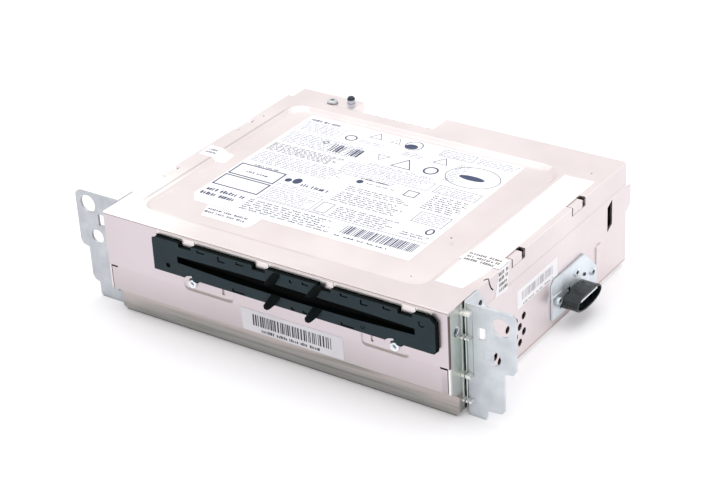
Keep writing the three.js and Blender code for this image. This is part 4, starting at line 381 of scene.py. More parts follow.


# Painted shade and painted highlights by place, and the stud's dark cap, laid in this order: a tone
# multiplies the sheet's own colour, a cover hides it
shades = {
    "coatedSteelSheetLower": [
        # painted shade on the front strip's lowest bend, on its lower half and along a faint crease
        {"y": (None, 10.6), "z": (None, 0.9), "soft": 0.4, "tone": "#b9babd"},
        {"x": (-76, 70), "y": (None, 10.6), "z": (None, 7), "soft": (8, 0.3, 0.7), "tone": "#eff4f5"},
        {"x": (-58, 62), "y": (None, 10.6), "z": (4.5, 5.3), "soft": (10, 0.3, 0.4), "tone": "#e9eae9"},
        # the right wall in front of the ear: painted light over it, painted highlights on its two edges,
        # painted shade in its middle and at the gap by the ear
        {"x": (89.5, None), "y": (None, 11), "z": (13.6, None), "soft": (0.3, 1.5, 2.5), "cover": "#cbcfc8"},
        {"x": (89.5, None), "y": (None, 0.7), "z": (13.6, None), "soft": (0.3, 0.6, 2.5), "cover": "#f2f2ee"},
        {"x": (89.5, None), "y": (9.5, 10.8), "z": (7, None), "soft": (0.3, 0.8, 2), "cover": "#f4f8f3"},
        {"x": (89.5, None), "y": (4.6, 11), "z": (25, 38.5), "soft": (0.3, 1.6, 1.5), "tone": "#eef2f0"},
        {"x": (89.8, None), "y": (11.1, 11.5), "z": (13, 52), "soft": (0.3, 0.15, 1), "tone": "#8d948f"},
        # the right wall far back: painted light on a patch of it and on its lower bevel, painted shade on the
        # bend above that
        {"x": (89.5, None), "y": (122.9, 128.6), "z": (5, 25), "soft": (0.3, 0.6, 1.2), "cover": "#e3d9da"},
        {"x": (88, None), "y": (12, None), "z": (None, 2.9), "soft": (0.3, 1, 0.4), "cover": "#fffdfd"},
        {"x": (89.5, None), "y": (14, 150), "z": (3, 3.7), "soft": (0.3, 4, 0.35), "tone": "#d9cfcb"},
    ],
    "coatedSteelSheetFront": [
        # painted shade: the front grows darker towards its foot, its right corner and its right edge
        {"z": (None, 26), "soft": 1.2, "tone": "#fbfafa"},
        {"z": (None, 15), "soft": 11, "tone": "#f1f4f2"},
        {"x": (86.4, None), "z": (None, 21), "soft": (1, 1, 4), "tone": "#f0eef0"},
        {"x": (89.52, None), "z": (26.8, 51.6), "soft": (0.12, 1, 0.6), "tone": "#857b77"},
        # painted shade on the lower slope of the raised pads, in two steps, and painted light on the strip
        # above the bezel
        {"y": (None, -0.16), "z": (None, 27.9), "soft": (1, 0.1, 0.35), "tone": "#d6d4cc"},
        {"y": (None, -0.16), "z": (None, 26.3), "soft": (1, 0.1, 0.3), "tone": "#e2e0da"},
        {"x": (-58.8, 83), "z": (46, None), "soft": (0.6, 1, 0.5), "cover": "#ebe4e2"},
    ],
    "coatedSteelSheetRolled": [
        # painted shade on the lid's front fold, on its right flange, and on the flange's part beside the ear
        {"y": (None, 0.4), "z": (51, 52.7), "soft": (1, 0.1, 0.15), "tone": "#aba19d"},
        {"x": (89.6, None), "z": (None, 52.8), "soft": 0.3, "tone": "#f0f1f2"},
        {"x": (89.6, None), "y": (11, 44), "z": (None, 52.8), "soft": (0.3, 6, 0.3), "tone": "#f8f7f8"},
        # painted light on the lid's left front corner, painted shade on its right front corner and on the
        # bends at the left and front of its recess
        {"x": (None, -62), "y": (None, 36), "z": (53, None), "soft": (24, 20, 0.3), "cover": "#fffefb"},
        {"x": (40, None), "y": (None, 20), "z": (53, None), "soft": (50, 12, 0.3), "tone": "#f4f2f3"},
        {"x": (-81.4, -80.5), "y": (22, 122), "z": (51, None), "soft": (0.5, 8, 0.3), "tone": "#e6dee1"},
        {"x": (-70, 10), "y": (10.9, 11.7), "z": (51, None), "soft": (12, 0.5, 0.3), "tone": "#f5f0f0"},
    ],
    "zincPlatedSteelStamped": [
        # painted highlights on the right ear's front, where its hooks stand out, and on its edge, painted
        # light on its side, painted shade on the left ear and on the right ear's two bends
        {"x": (90, 97), "y": (None, 10.3), "soft": 0.15, "cover": "#f8f6f2"},
        {"x": (None, -89.5), "soft": 0.5, "tone": "#ebeaea"},
        {"x": (90, 91.5), "y": (13, 24), "z": (30, 44), "soft": (0.2, 2, 2), "cover": "#ffffff"},
        {"x": (90, 91.3), "y": (10.4, 10.9), "soft": (0.1, 0.1, 1), "cover": "#f3f6f8"},
        {"x": (91.5, 92), "y": (None, 11), "z": (8, 46), "soft": (0.15, 0.3, 5), "tone": "#a9b1b5"},
        {"x": (94.4, 94.6), "y": (None, 11), "z": (22, 44), "soft": (0.15, 0.3, 5), "tone": "#c3cacd"},
    ],
    # the stud's dark cap
    "zincPlatedSteelStud": [{"z": (54.4, None), "soft": 0.3, "cover": "#3e4550"}],
}


def layShades():
    for name, rows in shades.items():
        tree, shader, place = partsOf(name)
        for row in rows:
            colour, blend = (row["cover"], "MIX") if "cover" in row else (row["tone"], "MULTIPLY")
            over(tree, shader, placeMask(tree, place, row, row["soft"]), tone(colour), blend)


# What each of the record's slots is made of, and the nodes that differ from their slot
slotFinish = {
    "steel_skin": "coatedSteelSheetRolled", "steel_inner": "galvanisedSteelPressed",
    "zinc": "zincPlatedSteelStamped", "bright_steel": "nickelPlatedSteelTurned",
    "black_plastic": "blackPlasticMoulded", "grey_plastic": "greyPlasticMoulded",
    "pale_nylon": "acetalMoulded", "rubber": "rubberMoulded", "felt": "feltPressed",
    "aluminium": "aluminiumExtruded", "board": "epoxyLaminateCoated",
    "violet_plastic": "violetPlasticMoulded", "blue_plastic": "bluePlasticMoulded",
    "lens": "acetalMoulded",
}
nodeFinish = {
    "front_panel": "coatedSteelSheetFront", "lower_chassis": "coatedSteelSheetLower",
    "slot_bezel": "glassFilledPlasticDark", "choke_coil": "ferritePressed",
    "side_support_bracket": "zincPlatedSteelFresh", "rear_bracket_stud": "zincPlatedSteelStud",
}


def dressNodes():
    for part in frame["record"]["subparts"]:
        slots = bpy.data.objects[part["node"]].data.materials
        slots.clear()
        slots.append(finishes[nodeFinish.get(part["node"], slotFinish[part["material_slot"]])])


shadeFrontStrip()
layShades()
dressNodes()
print("nodes dressed")

# Studio, in metres and watts: a white floor and surround, a broad soft lamp overhead and a weak one in front
studio = {"floorTone": "#f4f3f5", "floorSize": 6, "floorGlow": 0.13, "worldTone": "#ffffff", "worldFill": 0.8,
          "lamps": {"key": {"place": (-0.1, 0.1, 1.75), "power": 16, "size": 2.2},
                    "front": {"place": (0.9, -1.5, 0.9), "power": 3, "size": 1.2}}}


def addLamp(name, place, power, size):
    light = bpy.data.lights.new(name, "AREA")
    light.shape = "DISK"
    light.size = size
    light.energy = power
    holder = bpy.data.objects.new(name, light)
    holder.location = place
    holder.rotation_euler = (-Vector(place)).to_track_quat("-Z", "Y").to_euler()
    bpy.context.scene.collection.objects.link(holder)


def whiteRays(tree):
    # 1 for the rays that see the surround itself: the camera's, and those off metal or through glass
    path = addNode(tree, "ShaderNodeLightPath").outputs
    seen = path["Is Camera Ray"]
    for other in ("Is Glossy Ray", "Is Transmission Ray"):
        seen = addNode(tree, "ShaderNodeMath", {"operation": "MAXIMUM"}, {0: seen, 1: path[other]}).outputs[0]
    return seen


def makeWorld():
    # full white for those rays, and a weaker fill for what lights the object
    world = bpy.data.worlds.new("studio")
    bpy.context.scene.world = world
    world.use_nodes = True
    tree = world.node_tree
    tree.nodes.clear()
    colour = tone(studio["worldTone"])
    fill, white = [addNode(tree, "ShaderNodeBackground", {"Color": colour, "Strength": level})
                   for level in (studio["worldFill"], 1)]
    mixed = addNode(tree, "ShaderNodeMixShader",
                    links={0: whiteRays(tree), 1: fill.outputs[0], 2: white.outputs[0]})
    addNode(tree, "ShaderNodeOutputWorld", links={"Surface": mixed.outputs[0]})


def floorFinish():
    # matt paper, so no mirror image under the case, with a weak glow that brings it near white
    made = bpy.data.materials.new("paperBackdropMatt")
    made.use_nodes = True
    tree = made.node_tree
    tree.nodes.clear()
    matt = addNode(tree, "ShaderNodeBsdfDiffuse", {"Color": tone(studio["floorTone"])})
    glow = addNode(tree, "ShaderNodeEmission", {"Color": tone("#ffffff"), "Strength": studio["floorGlow"]})
    lift = addNode(tree, "ShaderNodeMixShader", links={0: whiteRays(tree), 2: glow.outputs[0]})
    both = addNode(tree, "ShaderNodeAddShader", links={0: matt.outputs[0], 1: lift.outputs[0]})
    addNode(tree, "ShaderNodeOutputMaterial", links={"Surface": both.outputs[0]})
    return made


def objectOf(name, form, finish):
    # an object at the origin, with the form as its mesh
    mesh = bpy.data.meshes.new(name)
    form.to_mesh(mesh)
    form.free()
    mesh.materials.append(finish)
    made = bpy.data.objects.new(name, mesh)
    bpy.context.scene.collection.objects.link(made)
    return made


def makeFloor():
    form = bmesh.new()
    bmesh.ops.create_grid(form, x_segments=1, y_segments=1, size=studio["floorSize"] / 2)
    objectOf("floor", form, floorFinish())


makeWorld()
for name, settings in studio["lamps"].items():
    addLamp(name, **settings)
makeFloor()
bpy.context.scene.view_settings.view_transform = "Standard"
print("studio done")


def boxAt(form, x, y, z):
    # a block between the two values of each of x, y and z
    low = Vector((x[0], y[0] - halfDepth, z[0]))
    high = Vector((x[1], y[1] - halfDepth, z[1]))
    place = Matrix.Translation((low + high) / 2 * mm) @ Matrix.Diagonal((high - low) * mm).to_4x4()
    bmesh.ops.create_cube(form, size=1, matrix=place)


def raised(form, faces, shift):
    # faces extruded by a shift in metres; returns what grew
    grown = bmesh.ops.extrude_face_region(form, geom=faces)["geom"]
    bmesh.ops.translate(form, verts=[v for v in grown if isinstance(v, bmesh.types.BMVert)], vec=shift)
    return grown


def prism(form, outline, axis, low, high):
    # an outline across axis, extruded from low to high
    def at(a, b, c):
        ways = {"x": (c, a - halfDepth, b), "y": (a, c - halfDepth, b), "z": (a, b - halfDepth, c)}
        return Vector(ways[axis]) * mm
    face = form.faces.new([form.verts.new(at(a, b, low)) for a, b in outline])
    raised(form, [face], at(0, 0, high) - at(0, 0, low))


def finishPiece(name, form, finish, body="case"):
    bmesh.ops.recalc_face_normals(form, faces=form.faces[:])
    piece = objectOf(name, form, finishes[finish])
    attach(piece, body)
    return piece


def prismPiece(name, prisms, finish):
    # a piece of one or more prisms, each an outline, its axis, low and high
    form = bmesh.new()
    for each in prisms:
        prism(form, *each)
    return finishPiece(name, form, finish)


def oblong(left, right, foot, top):
    # an upright rectangle's outline
    return [(left, foot), (right, foot), (right, top), (left, top)]


def loopAt(form, outline, y):
    # a closed loop of edges across y, from points in x and z
    verts = [form.verts.new(Vector((a, y - halfDepth, b)) * mm) for a, b in outline]
    return [form.edges.new((verts[i - 1], verts[i])) for i in range(len(verts))]


def joined(form, loop, outline, y):
    # walls from a loop to the next one behind it
    behind = loopAt(form, outline, y)
    bmesh.ops.bridge_loops(form, edges=loop + behind)
    return behind


def filled(form, loops):
    # one flat face inside the first loop, open where the others are
    return bmesh.ops.triangle_fill(form, use_beauty=True, use_dissolve=False, edges=sum(loops, []))["geom"]


def arcMark(centre, outer, inner, start, sweep, steps=9):
    # a curved groove's outline, in degrees
    turn = [math.radians(start + sweep * i / steps) for i in range(steps + 1)]
    out = [(centre[0] + outer * math.cos(a), centre[1] + outer * math.sin(a)) for a in turn]
    return out + [(centre[0] + inner * math.cos(a), centre[1] + inner * math.sin(a)) for a in reversed(turn)]


def roundMark(centre, radius, steps=16):
    turn = [2 * math.pi * i / steps for i in range(steps)]
    return [(centre[0] + radius * math.cos(a), centre[1] + radius * math.sin(a)) for a in turn]


# The bezel's moulding stands proud of the front. Its outlines run from the foot's left end, up and round; a
# mark is an L, given as its bar's start, foot and length and the height of its stub
bezel = {
    "front": -2.3, "seat": 1.1, "throatStart": 0.8, "back": 3.5, "markDepth": 0.8,
    "foot": 33.5, "top": 50, "notchFoot": 48, "seatFoot": 32.2, "seatTop": 49.9,
    "notches": [(-46, -39.1), (-6.1, 0.8), (27.3, 34.5), (67.2, 74.2)],
    "seatNotches": [(-45.4, -37.8), (-5.7, 1.9), (27.5, 35.1), (67.6, 75.2)],
    "lugs": [(65.6, 68.6), (-39.6, -36.8)], "lugDrop": 1.1, "lugTaper": (0.3, 0.4), "lugLean": 0.8,
    "left": [(-60.9, 33.5), (-60.8, 47.5), (-60.6, 49.4), (-58.8, 50)],
    "seatLeft": [(-61.9, 32.2), (-61.9, 47.5), (-59.4, 47.5), (-59.4, 49.9)],
    "right": [(82.4, 50), (84.9, 47.5), (84.9, 35.2), (83.4, 33.5)],
    "seatRight": [(82.2, 49.9), (84.7, 47.4), (84.7, 34.6), (82.3, 32.2)],
    "flange": [(-64.2, 29.9), (-64.2, 49.8), (-61.7, 52.2), (84.5, 52.2), (87, 49.7), (87, 32.3),
               (84.6, 29.9)],
    "mouth": [(-47.2, 40), (-47.2, 43.2), (-18, 43.9), (14, 44), (46, 43.8), (75.2, 43.1), (75.2, 40.1),
              (46, 38.8), (14, 38.4), (-18, 38.7)],
    "throat": [(-48.8, 37.8), (-48.8, 41.1), (-19, 41.1), (13, 42.2), (46, 41.1), (74, 41.1), (74, 37.8),
               (46, 37.8), (13, 35.9), (-19, 37.8)],
    "marks": [(-35.8, 47.9, 4.2, 1.4), (-24.6, 46.7, 3.9, 2.4), (-14.8, 47.9, 4.2, 1.4), (13.2, 47, 1.6, 1.5),
              (19.8, 47.8, 3.2, 1.3), (39, 47.9, 3.8, 1.4), (49, 46.8, 3.6, 2.4), (60, 47.9, 3.8, 1.4),
              (-17.8, 33.95, 6.6, 1.6), (13.2, 34, 1.8, 1.3), (19.4, 34, 2, 1.2), (38.6, 33.95, 6.6, 1.5)],
    "markStub": 0.8, "markBar": 0.65, "eye": ((-52.8, 37.3), 1.2),
    "arcs": [((78.6, 46.2), 1.6, 1, 130, 200), ((49.6, 36.4), 1.05, 0.65, 150, 260)],
    "finStep": 21.4,
    "fins": [[(4.8, -2.2, 49.2), (6, -2.2, 50), (8.7, -2.2, 49.9), (8.9, -2.2, 48.9), (2, -2.2, 43.8),
              (5.6, -2.2, 43.8), (1.8, -5.6, 44.6), (4.2, -5.6, 44.8), (3.1, -5.4, 46.2), (4.9, -5, 46.2)],
             [(3.4, -2.2, 38.7), (8.4, -2.2, 38.7), (1.3, -2.2, 33.6), (4.6, -2.2, 33.5), (1.1, -5.6, 34.2),
              (3.7, -5.6, 34.2), (1.1, -5.4, 32.5), (2.6, -5.5, 32.2), (3.9, -5.2, 32.8)]],
}


def bezelOutline(ends, notches, top, foot, drop):
    # the moulding's edge: its left end, the notches in its top, its right end and the lugs under its foot
    left, right = ends
    start, end = bezel["lugTaper"]
    outline = left[:]
    for x0, x1 in notches:
        outline += [(x0, top), (x0, bezel["notchFoot"]), (x1, bezel["notchFoot"]), (x1, top)]
    outline += right
    for x0, x1 in bezel["lugs"]:
        outline += [(x1, foot), (x1 - end, foot - drop), (x0 + start, foot - drop * bezel["lugLean"]),
                    (x0, foot)]
    return outline


def mouldedMarks():
    # the outlines of the grooves in the bezel's face
    bar, stub = bezel["markBar"], bezel["markStub"]
    marks = [arcMark(*arc) for arc in bezel["arcs"]] + [roundMark(*bezel["eye"])]
    for x, z, run, rise in bezel["marks"]:
        marks.append([(x, z), (x + run, z), (x + run, z + bar), (x + stub, z + bar), (x + stub, z + rise),
                      (x, z + rise)])
    return marks


def makeBezel():
    # a face with its grooves, walls back to the seat and to the throat, the flange behind, and the guide fins
    form = bmesh.new()
    front, seat, back = bezel["front"], bezel["seat"], bezel["back"]
    outline = loopAt(form, bezelOutline((bezel["left"], bezel["right"]), bezel["notches"], bezel["top"],
                                        bezel["foot"], bezel["lugDrop"]), front)
    mouth = loopAt(form, bezel["mouth"], front)
    marks = mouldedMarks()
    holes = [loopAt(form, mark, front) for mark in marks]
    faces = [f for f in filled(form, [outline, mouth] + holes) if isinstance(f, bmesh.types.BMFace)]
    for hole, mark in zip(holes, marks):
        filled(form, [joined(form, hole, mark, front + bezel["markDepth"])])
    rim = joined(form, outline, bezelOutline((bezel["seatLeft"], bezel["seatRight"]), bezel["seatNotches"],
                                             bezel["seatTop"], bezel["seatFoot"], 0), seat)
    throat = joined(form, joined(form, mouth, bezel["throat"], bezel["throatStart"]), bezel["throat"], seat)
    filled(form, [rim, throat])
    flange = [loopAt(form, bezel[name], seat) for name in ("flange", "throat")]
    rear = [joined(form, loop, bezel[name], back) for loop, name in zip(flange, ("flange", "throat"))]
    filled(form, flange)
    filled(form, rear)
    for fin in bezel["fins"]:
        for shift in (0, bezel["finStep"]):
            verts = [form.verts.new(Vector((x + shift, y - halfDepth, z)) * mm) for x, y, z in fin]
            bmesh.ops.convex_hull(form, input=verts)
    # all but the face take the darker copy of the plastic: painted shade
    for face in form.faces:
        if face not in faces:
            face.material_index = 1
    piece = finishPiece("slot_bezel_moulding", form, "glassFilledPlasticMoulded")
    piece.data.materials.append(finishes["glassFilledPlasticDark"])
    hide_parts("slot_bezel")


# The raised pads under the bezel, each with a slit, and the hooked tab that holds the bezel's lower edge
pad = {"face": -0.8, "seat": 0.05, "foot": 25.8, "faceTop": 35.3, "top": 35.4, "slope": 1.9, "corner": 1.5,
       "seatCorner": 2.4, "cornerSteps": 4, "slit": (1.3, 29.5, 34), "slitFloor": -0.1,
       "ends": {"left": (-46.8, -19.4), "right": (46.7, 70.8)}, "slits": {"left": -24.9, "right": 52.3},
       "tabs": {"left": -41.2, "right": 63.3}, "tabFaces": (-2.55, -2.32), "hookFaces": (-2.5, -0.7),
       "tab": [(-3.4, 33.1), (-1.4, 34.7), (1.2, 35.4), (1.6, 34.6), (0, 33.9), (-0.4, 32.6)],
       "hook": [(-3.4, 31.4), (-3.4, 33.5), (-0.3, 33.5), (-0.3, 32.2)]}

# Their screws: a button head, and a round socket by insets and rises from the crown inwards
screw = {"places": {"left": -40.8, "right": 64.3}, "height": 30.8, "head": 2.2, "segments": 32, "seat": -0.5,
         "crown": -1.6, "socket": ((0.35, 0.28), (0.6, 0.02), (0.08, -0.2), (0.3, -0.5))}


def roundedFoot(x0, x1, z0, z1, corner):
    # a rectangle whose two lower corners are arcs
    steps = pad["cornerSteps"]
    turn = [math.pi + math.pi / 2 * i / steps for i in range(steps + 1)]
    left = [(x0 + corner + corner * math.cos(a), z0 + corner + corner * math.sin(a)) for a in turn]
    right = [(x1 - corner - corner * math.cos(a), z0 + corner + corner * math.sin(a)) for a in reversed(turn)]
    return left + right + [(x1, z1), (x0, z1)]


def makePad(side):
    form = bmesh.new()
    left, right = pad["ends"][side]
    slope, foot = pad["slope"], pad["foot"]
    face = loopAt(form, roundedFoot(left + slope, right - slope, foot + slope, pad["faceTop"], pad["corner"]),
                  pad["face"])
    wide, low, high = pad["slit"]
    start = pad["slits"][side]
    slitOutline = oblong(start, start + wide, low, high)
    slit = loopAt(form, slitOutline, pad["face"])
    filled(form, [face, slit])
    filled(form, [joined(form, slit, slitOutline, pad["slitFloor"])])
    seat = joined(form, face, roundedFoot(left, right, foot, pad["top"], pad["seatCorner"]), pad["seat"])
    filled(form, [seat])
    for part in ("tab", "hook"):
        prism(form, [(pad["tabs"][side] + x, z) for x, z in pad[part]], "y", *pad[part + "Faces"])
    finishPiece("screw_pad_" + side, form, "coatedSteelSheetFront")


def makeScrew(side):
    form = bmesh.new()
    middle = Vector((screw["places"][side], screw["seat"] - halfDepth, screw["height"])) * mm
    made = bmesh.ops.create_circle(form, cap_ends=True, radius=screw["head"] * mm, segments=screw["segments"],
                                   matrix=Matrix.Translation(middle) @ Matrix.Rotation(math.pi / 2, 4, "X"))
    grown = raised(form, [made["verts"][0].link_faces[0]], (0, (screw["crown"] - screw["seat"]) * mm, 0))
    crown = next(f for f in grown if isinstance(f, bmesh.types.BMFace))
    bmesh.ops.recalc_face_normals(form, faces=form.faces[:])
    for inset, rise in screw["socket"]:
        bmesh.ops.inset_region(form, faces=[crown], thickness=inset * mm, depth=rise * mm)
    # the socket's floor takes the darker plating: painted shade
    crown.material_index = 1
    piece = finishPiece("bezel_screw_head_" + side, form, "nickelPlatedSteelBright")
    piece.data.materials.append(finishes["nickelPlatedSteelSocket"])
    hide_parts("bezel_screw_" + side)


# The eye in the right wall: a rim with a painted highlight, open towards the front, and a floor behind it in
# painted shade
eye = {"centre": (5.3, 42.1), "outer": 2.3, "inner": 1.5, "start": -95, "sweep": 190, "steps": 14,
       "rim": (89.1, 90.04), "floor": (88.7, 88.9), "floorSteps": 20}


def makeEye():
    rim = arcMark(eye["centre"], eye["outer"], eye["inner"], eye["start"], eye["sweep"], eye["steps"])
    prismPiece("wall_eye_rim", [(rim, "x", *eye["rim"])], "nickelPlatedSteelRim")
    floor = roundMark(eye["centre"], eye["outer"], eye["floorSteps"])
    prismPiece("wall_eye_floor", [(floor, "x", *eye["floor"])], "nickelPlatedSteelSocket")


# The curl of the folded latch, on the wall and on the lid, drawn as a dark line of painted shade, and specks
# on the lid
lidMarks = {
    "latchSide": [(30.7, 53.4), (31.3, 53.4), (31.9, 51), (33.2, 48.3), (34.6, 46.9), (34.2, 46.5),
                  (32.6, 47.9), (31.2, 50.8)],
    "latchTop": [(88.6, 29.2), (88.9, 28.8), (90, 30.7), (90, 31.3), (89.4, 31.1)],
    "specks": [((58.4, 53.3), 0.42), ((61.2, 17.6), 0.3), ((81.6, 134.8), 0.35), ((-86.1, 114.2), 0.35)],
    "speckSteps": 8,
}

# The side bracket's holes: small ones drawn as dark discs of painted shade, and eyes with a flange, a
# crescent of painted shade inside it and a crescent of painted highlight on the flange. A crescent is two
# shares of an eye's radius, a start and a sweep
support = {
    "face": 91.3, "eyes": [((104.3, 20.7), 1.9), ((88.8, 13.9), 1.7), ((119.4, 13.6), 1.8)],
    "holes": [((96.6, 16.2), 0.9), ((111, 16.2), 0.9), ((88.6, 10.7), 0.6)], "holeSteps": 12,
    "shade": (0.7, 0.15, 80, 165), "flange": (1.05, 0.45, -150, 235), "flangeRise": 0.09,
}


def laidOn(axis, face, rise, outlines):
    # flat prisms that lie on a face
    return [(outline, axis, face, face + rise) for outline in outlines]


def crescents(outer, inner, start, sweep):
    return [arcMark(centre, radius * outer, radius * inner, start, sweep)
            for centre, radius in support["eyes"]]


def makeMarks():
    specks = [roundMark(*speck, lidMarks["speckSteps"]) for speck in lidMarks["specks"]]
    holes = [roundMark(*hole, support["holeSteps"]) for hole in support["holes"]]
    # dark marks: painted shade for the latch's curl, the eyes' inner crescents and the small holes, and the
    # lid's specks
    dark = laidOn("x", wallFace, printRise, [lidMarks["latchSide"]])
    dark += laidOn("z", lidTop, printRise, [lidMarks["latchTop"]] + specks)
    dark += laidOn("x", support["face"], printRise, crescents(*support["shade"]) + holes)
    prismPiece("latch_gap_and_specks", dark, "glassFilledPlasticDark")
    # painted highlights: the bright crescents on the eyes' flanges
    rimHighlights = laidOn("x", support["face"], support["flangeRise"], crescents(*support["flange"]))
    prismPiece("support_eye_rim_highlights", rimHighlights, "nickelPlatedSteelRim")


# The sled's drive screw: a journal through the whole length and a rolled thread between the bearings. The
# ridge is one turn's profile, along the screw and out from its middle; points closer than merge become one
thread = {"journal": 0.9, "journalSteps": 20, "start": -52.75, "pitch": 3, "turns": 19, "steps": 20,
          "ridge": [(0, 1.2), (0.9, 1.2), (1.3, 1.5), (2.6, 1.5), (3, 1.2)], "merge": 0.004}


def makeFeedScrew():
    low, high = boxOf("feed_screw")
    y, z = (low[1] + high[1]) / 2, (low[2] + high[2]) / 2
    form = bmesh.new()
    journal = roundMark((y + halfDepth, z), thread["journal"], thread["journalSteps"])
    prism(form, journal, "x", low[0], high[0])
    middle = Vector((0, y, z)) * mm
    spots = [form.verts.new(middle + Vector((thread["start"] + along, 0, out)) * mm)
             for along, out in thread["ridge"]]
    path = [form.edges.new(pair) for pair in zip(spots, spots[1:])]
    turns, steps = thread["turns"], thread["steps"]
    bmesh.ops.spin(form, geom=spots + path, cent=middle, axis=(1, 0, 0), angle=2 * math.pi * turns,
                   steps=turns * steps, dvec=(thread["pitch"] / steps * mm, 0, 0))
    bmesh.ops.remove_doubles(form, verts=form.verts[:], dist=thread["merge"] * mm)
    bmesh.ops.holes_fill(form, edges=[e for e in form.edges if e.is_boundary])
    piece = finishPiece("feed_screw_thread", form, "nickelPlatedSteelTurned", "feed_screw")
    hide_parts("feed_screw")


# The cover's flange and the pan's wall meet nearly flush: a thin hem closes the joggle between them
hem = {"start": 11.8, "end": 152.1, "foot": 42.2, "top": 42.72, "inner": 89.1, "outer": 89.97}


def makeHems():
    outline = oblong(hem["start"], hem["end"], hem["foot"], hem["top"])
    for side, outwards in (("right", 1), ("left", -1)):
        prismPiece("flange_hem_" + side, [(outline, "x", hem["inner"] * outwards, hem["outer"] * outwards)],
                   "coatedSteelSheetLower")


# The pressed edge of the front above the bezel, with a tab in each of its notches
tabEdge = {"left": -58.6, "right": 82, "foot": 50.35, "top": 51.95, "faces": (-0.3, -0.02),
           "tabFoot": 48.2, "tabFaces": (-0.5, -0.3), "play": 0.35}


def makeTabEdge():
    strip = oblong(tabEdge["left"], tabEdge["right"], tabEdge["foot"], tabEdge["top"])
    prisms = [(strip, "y", *tabEdge["faces"])]
    for left, right in bezel["seatNotches"]:
        tab = oblong(left + tabEdge["play"], right - tabEdge["play"], tabEdge["tabFoot"], tabEdge["top"])
        prisms.append((tab, "y", *tabEdge["tabFaces"]))
    prismPiece("front_panel_tab_edge", prisms, "coatedSteelSheetFront")


makeBezel()
for side in ("left", "right"):
    makePad(side)
    makeScrew(side)
makeHems()
makeTabEdge()
makeEye()
makeMarks()
makeFeedScrew()
print("bezel, pads, screws and small marks done")

# Print as it looks from afar: words of short strokes, given for a size of 1. Print below fineSize gets one
# low bar a word with a few tall strokes on it. Each pair is the least and the most of a random draw
strokes = {"indent": (0, 0.6), "run": (0.82, 1), "word": (2.2, 6.5), "wide": (0.42, 0.72), "tall": (0.65, 1),
           "step": (0.75, 1.05), "gap": 0.9, "fineSize": 1, "fineBar": 0.42, "fineStep": 2.6, "slack": 0.01}


def inked(form, axis, face, across, up):
    # a block of print on a face across axis; a face across y looks forwards
    out = (face - printRise, face) if axis == "y" else (face, face + printRise)
    boxAt(form, *{"x": (out, across, up), "y": (across, out, up), "z": (across, up, out)}[axis])


def lineStrokes(rng, start, end, height, size):
    # one printed line as strokes: left, right and height
    made = []
    x = start
    fine = size < strokes["fineSize"]
    while x < end:
        word = min(x + rng.uniform(*strokes["word"]) * size, end)
        if fine:
            made.append((x, word, height * strokes["fineBar"]))
        while x < word:
            wide = rng.uniform(*strokes["wide"]) * size
            made.append((x, x + wide, height * rng.uniform(*strokes["tall"])))
            x += rng.uniform(*strokes["step"]) * size * (strokes["fineStep"] if fine else 1)
        x = max(x, word) + strokes["gap"] * size
    return made


def textBlock(form, rng, axis, face, block):
    # printed lines that fill a block (x0, y0, x1, y1, pitch, height, size) from its top down
    x0, y0, x1, y1, pitch, height, size = block
    line = y1 - pitch
    while line > y0 - strokes["slack"]:
        start = x0 + rng.uniform(*strokes["indent"])
        end = start + (x1 - x0) * rng.uniform(*strokes["run"])
        for left, right, tall in lineStrokes(rng, start, end, height, size):
            inked(form, axis, face, (left, right), (line, line + tall))
        line -= pitch


def frameLines(form, axis, face, block, width):
    # a ruled frame around a block
    x0, y0, x1, y1 = block
    between = (y0 + width, y1 - width)
    for across, up in (((x0, x1), (y0, y0 + width)), ((x0, x1), (y1 - width, y1)),
                       ((x0, x0 + width), between), ((x1 - width, x1), between)):
        inked(form, axis, face, across, up)


def barRow(form, rng, axis, face, block, widths):
    # plain bars of a few widths, side by side
    x0, y0, x1, y1 = block
    x = x0
    while x < x1 - widths[-1]:
        wide = rng.choice(widths)
        inked(form, axis, face, (x, x + wide), (y0, y1))
        x += wide + rng.choice(widths)


def ringAt(form, centre, radii, width, face, segments=40):
    # a flat oval ring on a level face, or a disc where its width is 0
    place = Matrix.Translation(Vector((centre[0], centre[1] - halfDepth, face)) * mm)
    grow = Matrix.Diagonal((radii[0] * mm, radii[1] * mm, 1, 1))
    made = bmesh.ops.create_circle(form, cap_ends=True, radius=1, segments=segments, matrix=place @ grow)
    disc = made["verts"][0].link_faces[0]
    keep = [disc]
    if width:
        keep = bmesh.ops.inset_region(form, faces=[disc], use_boundary=True, use_even_offset=True,
                                      thickness=width * mm)["faces"]
        bmesh.ops.delete(form, geom=[disc], context="FACES_ONLY")
    raised(form, keep, (0, 0, printRise * mm))


def triangleRing(form, outline, face):
    # a flat triangle with an open middle, as three bars
    centre = [sum(c) / 3 for c in zip(*outline)]
    for i in range(3):
        a, b = outline[i], outline[(i + 1) % 3]
        inner = [tuple(p + (q - p) * topLabel["triangleWidth"] for p, q in zip(corner, centre))
                 for corner in (b, a)]
        prism(form, [a, b] + inner, "z", face, face + printRise)


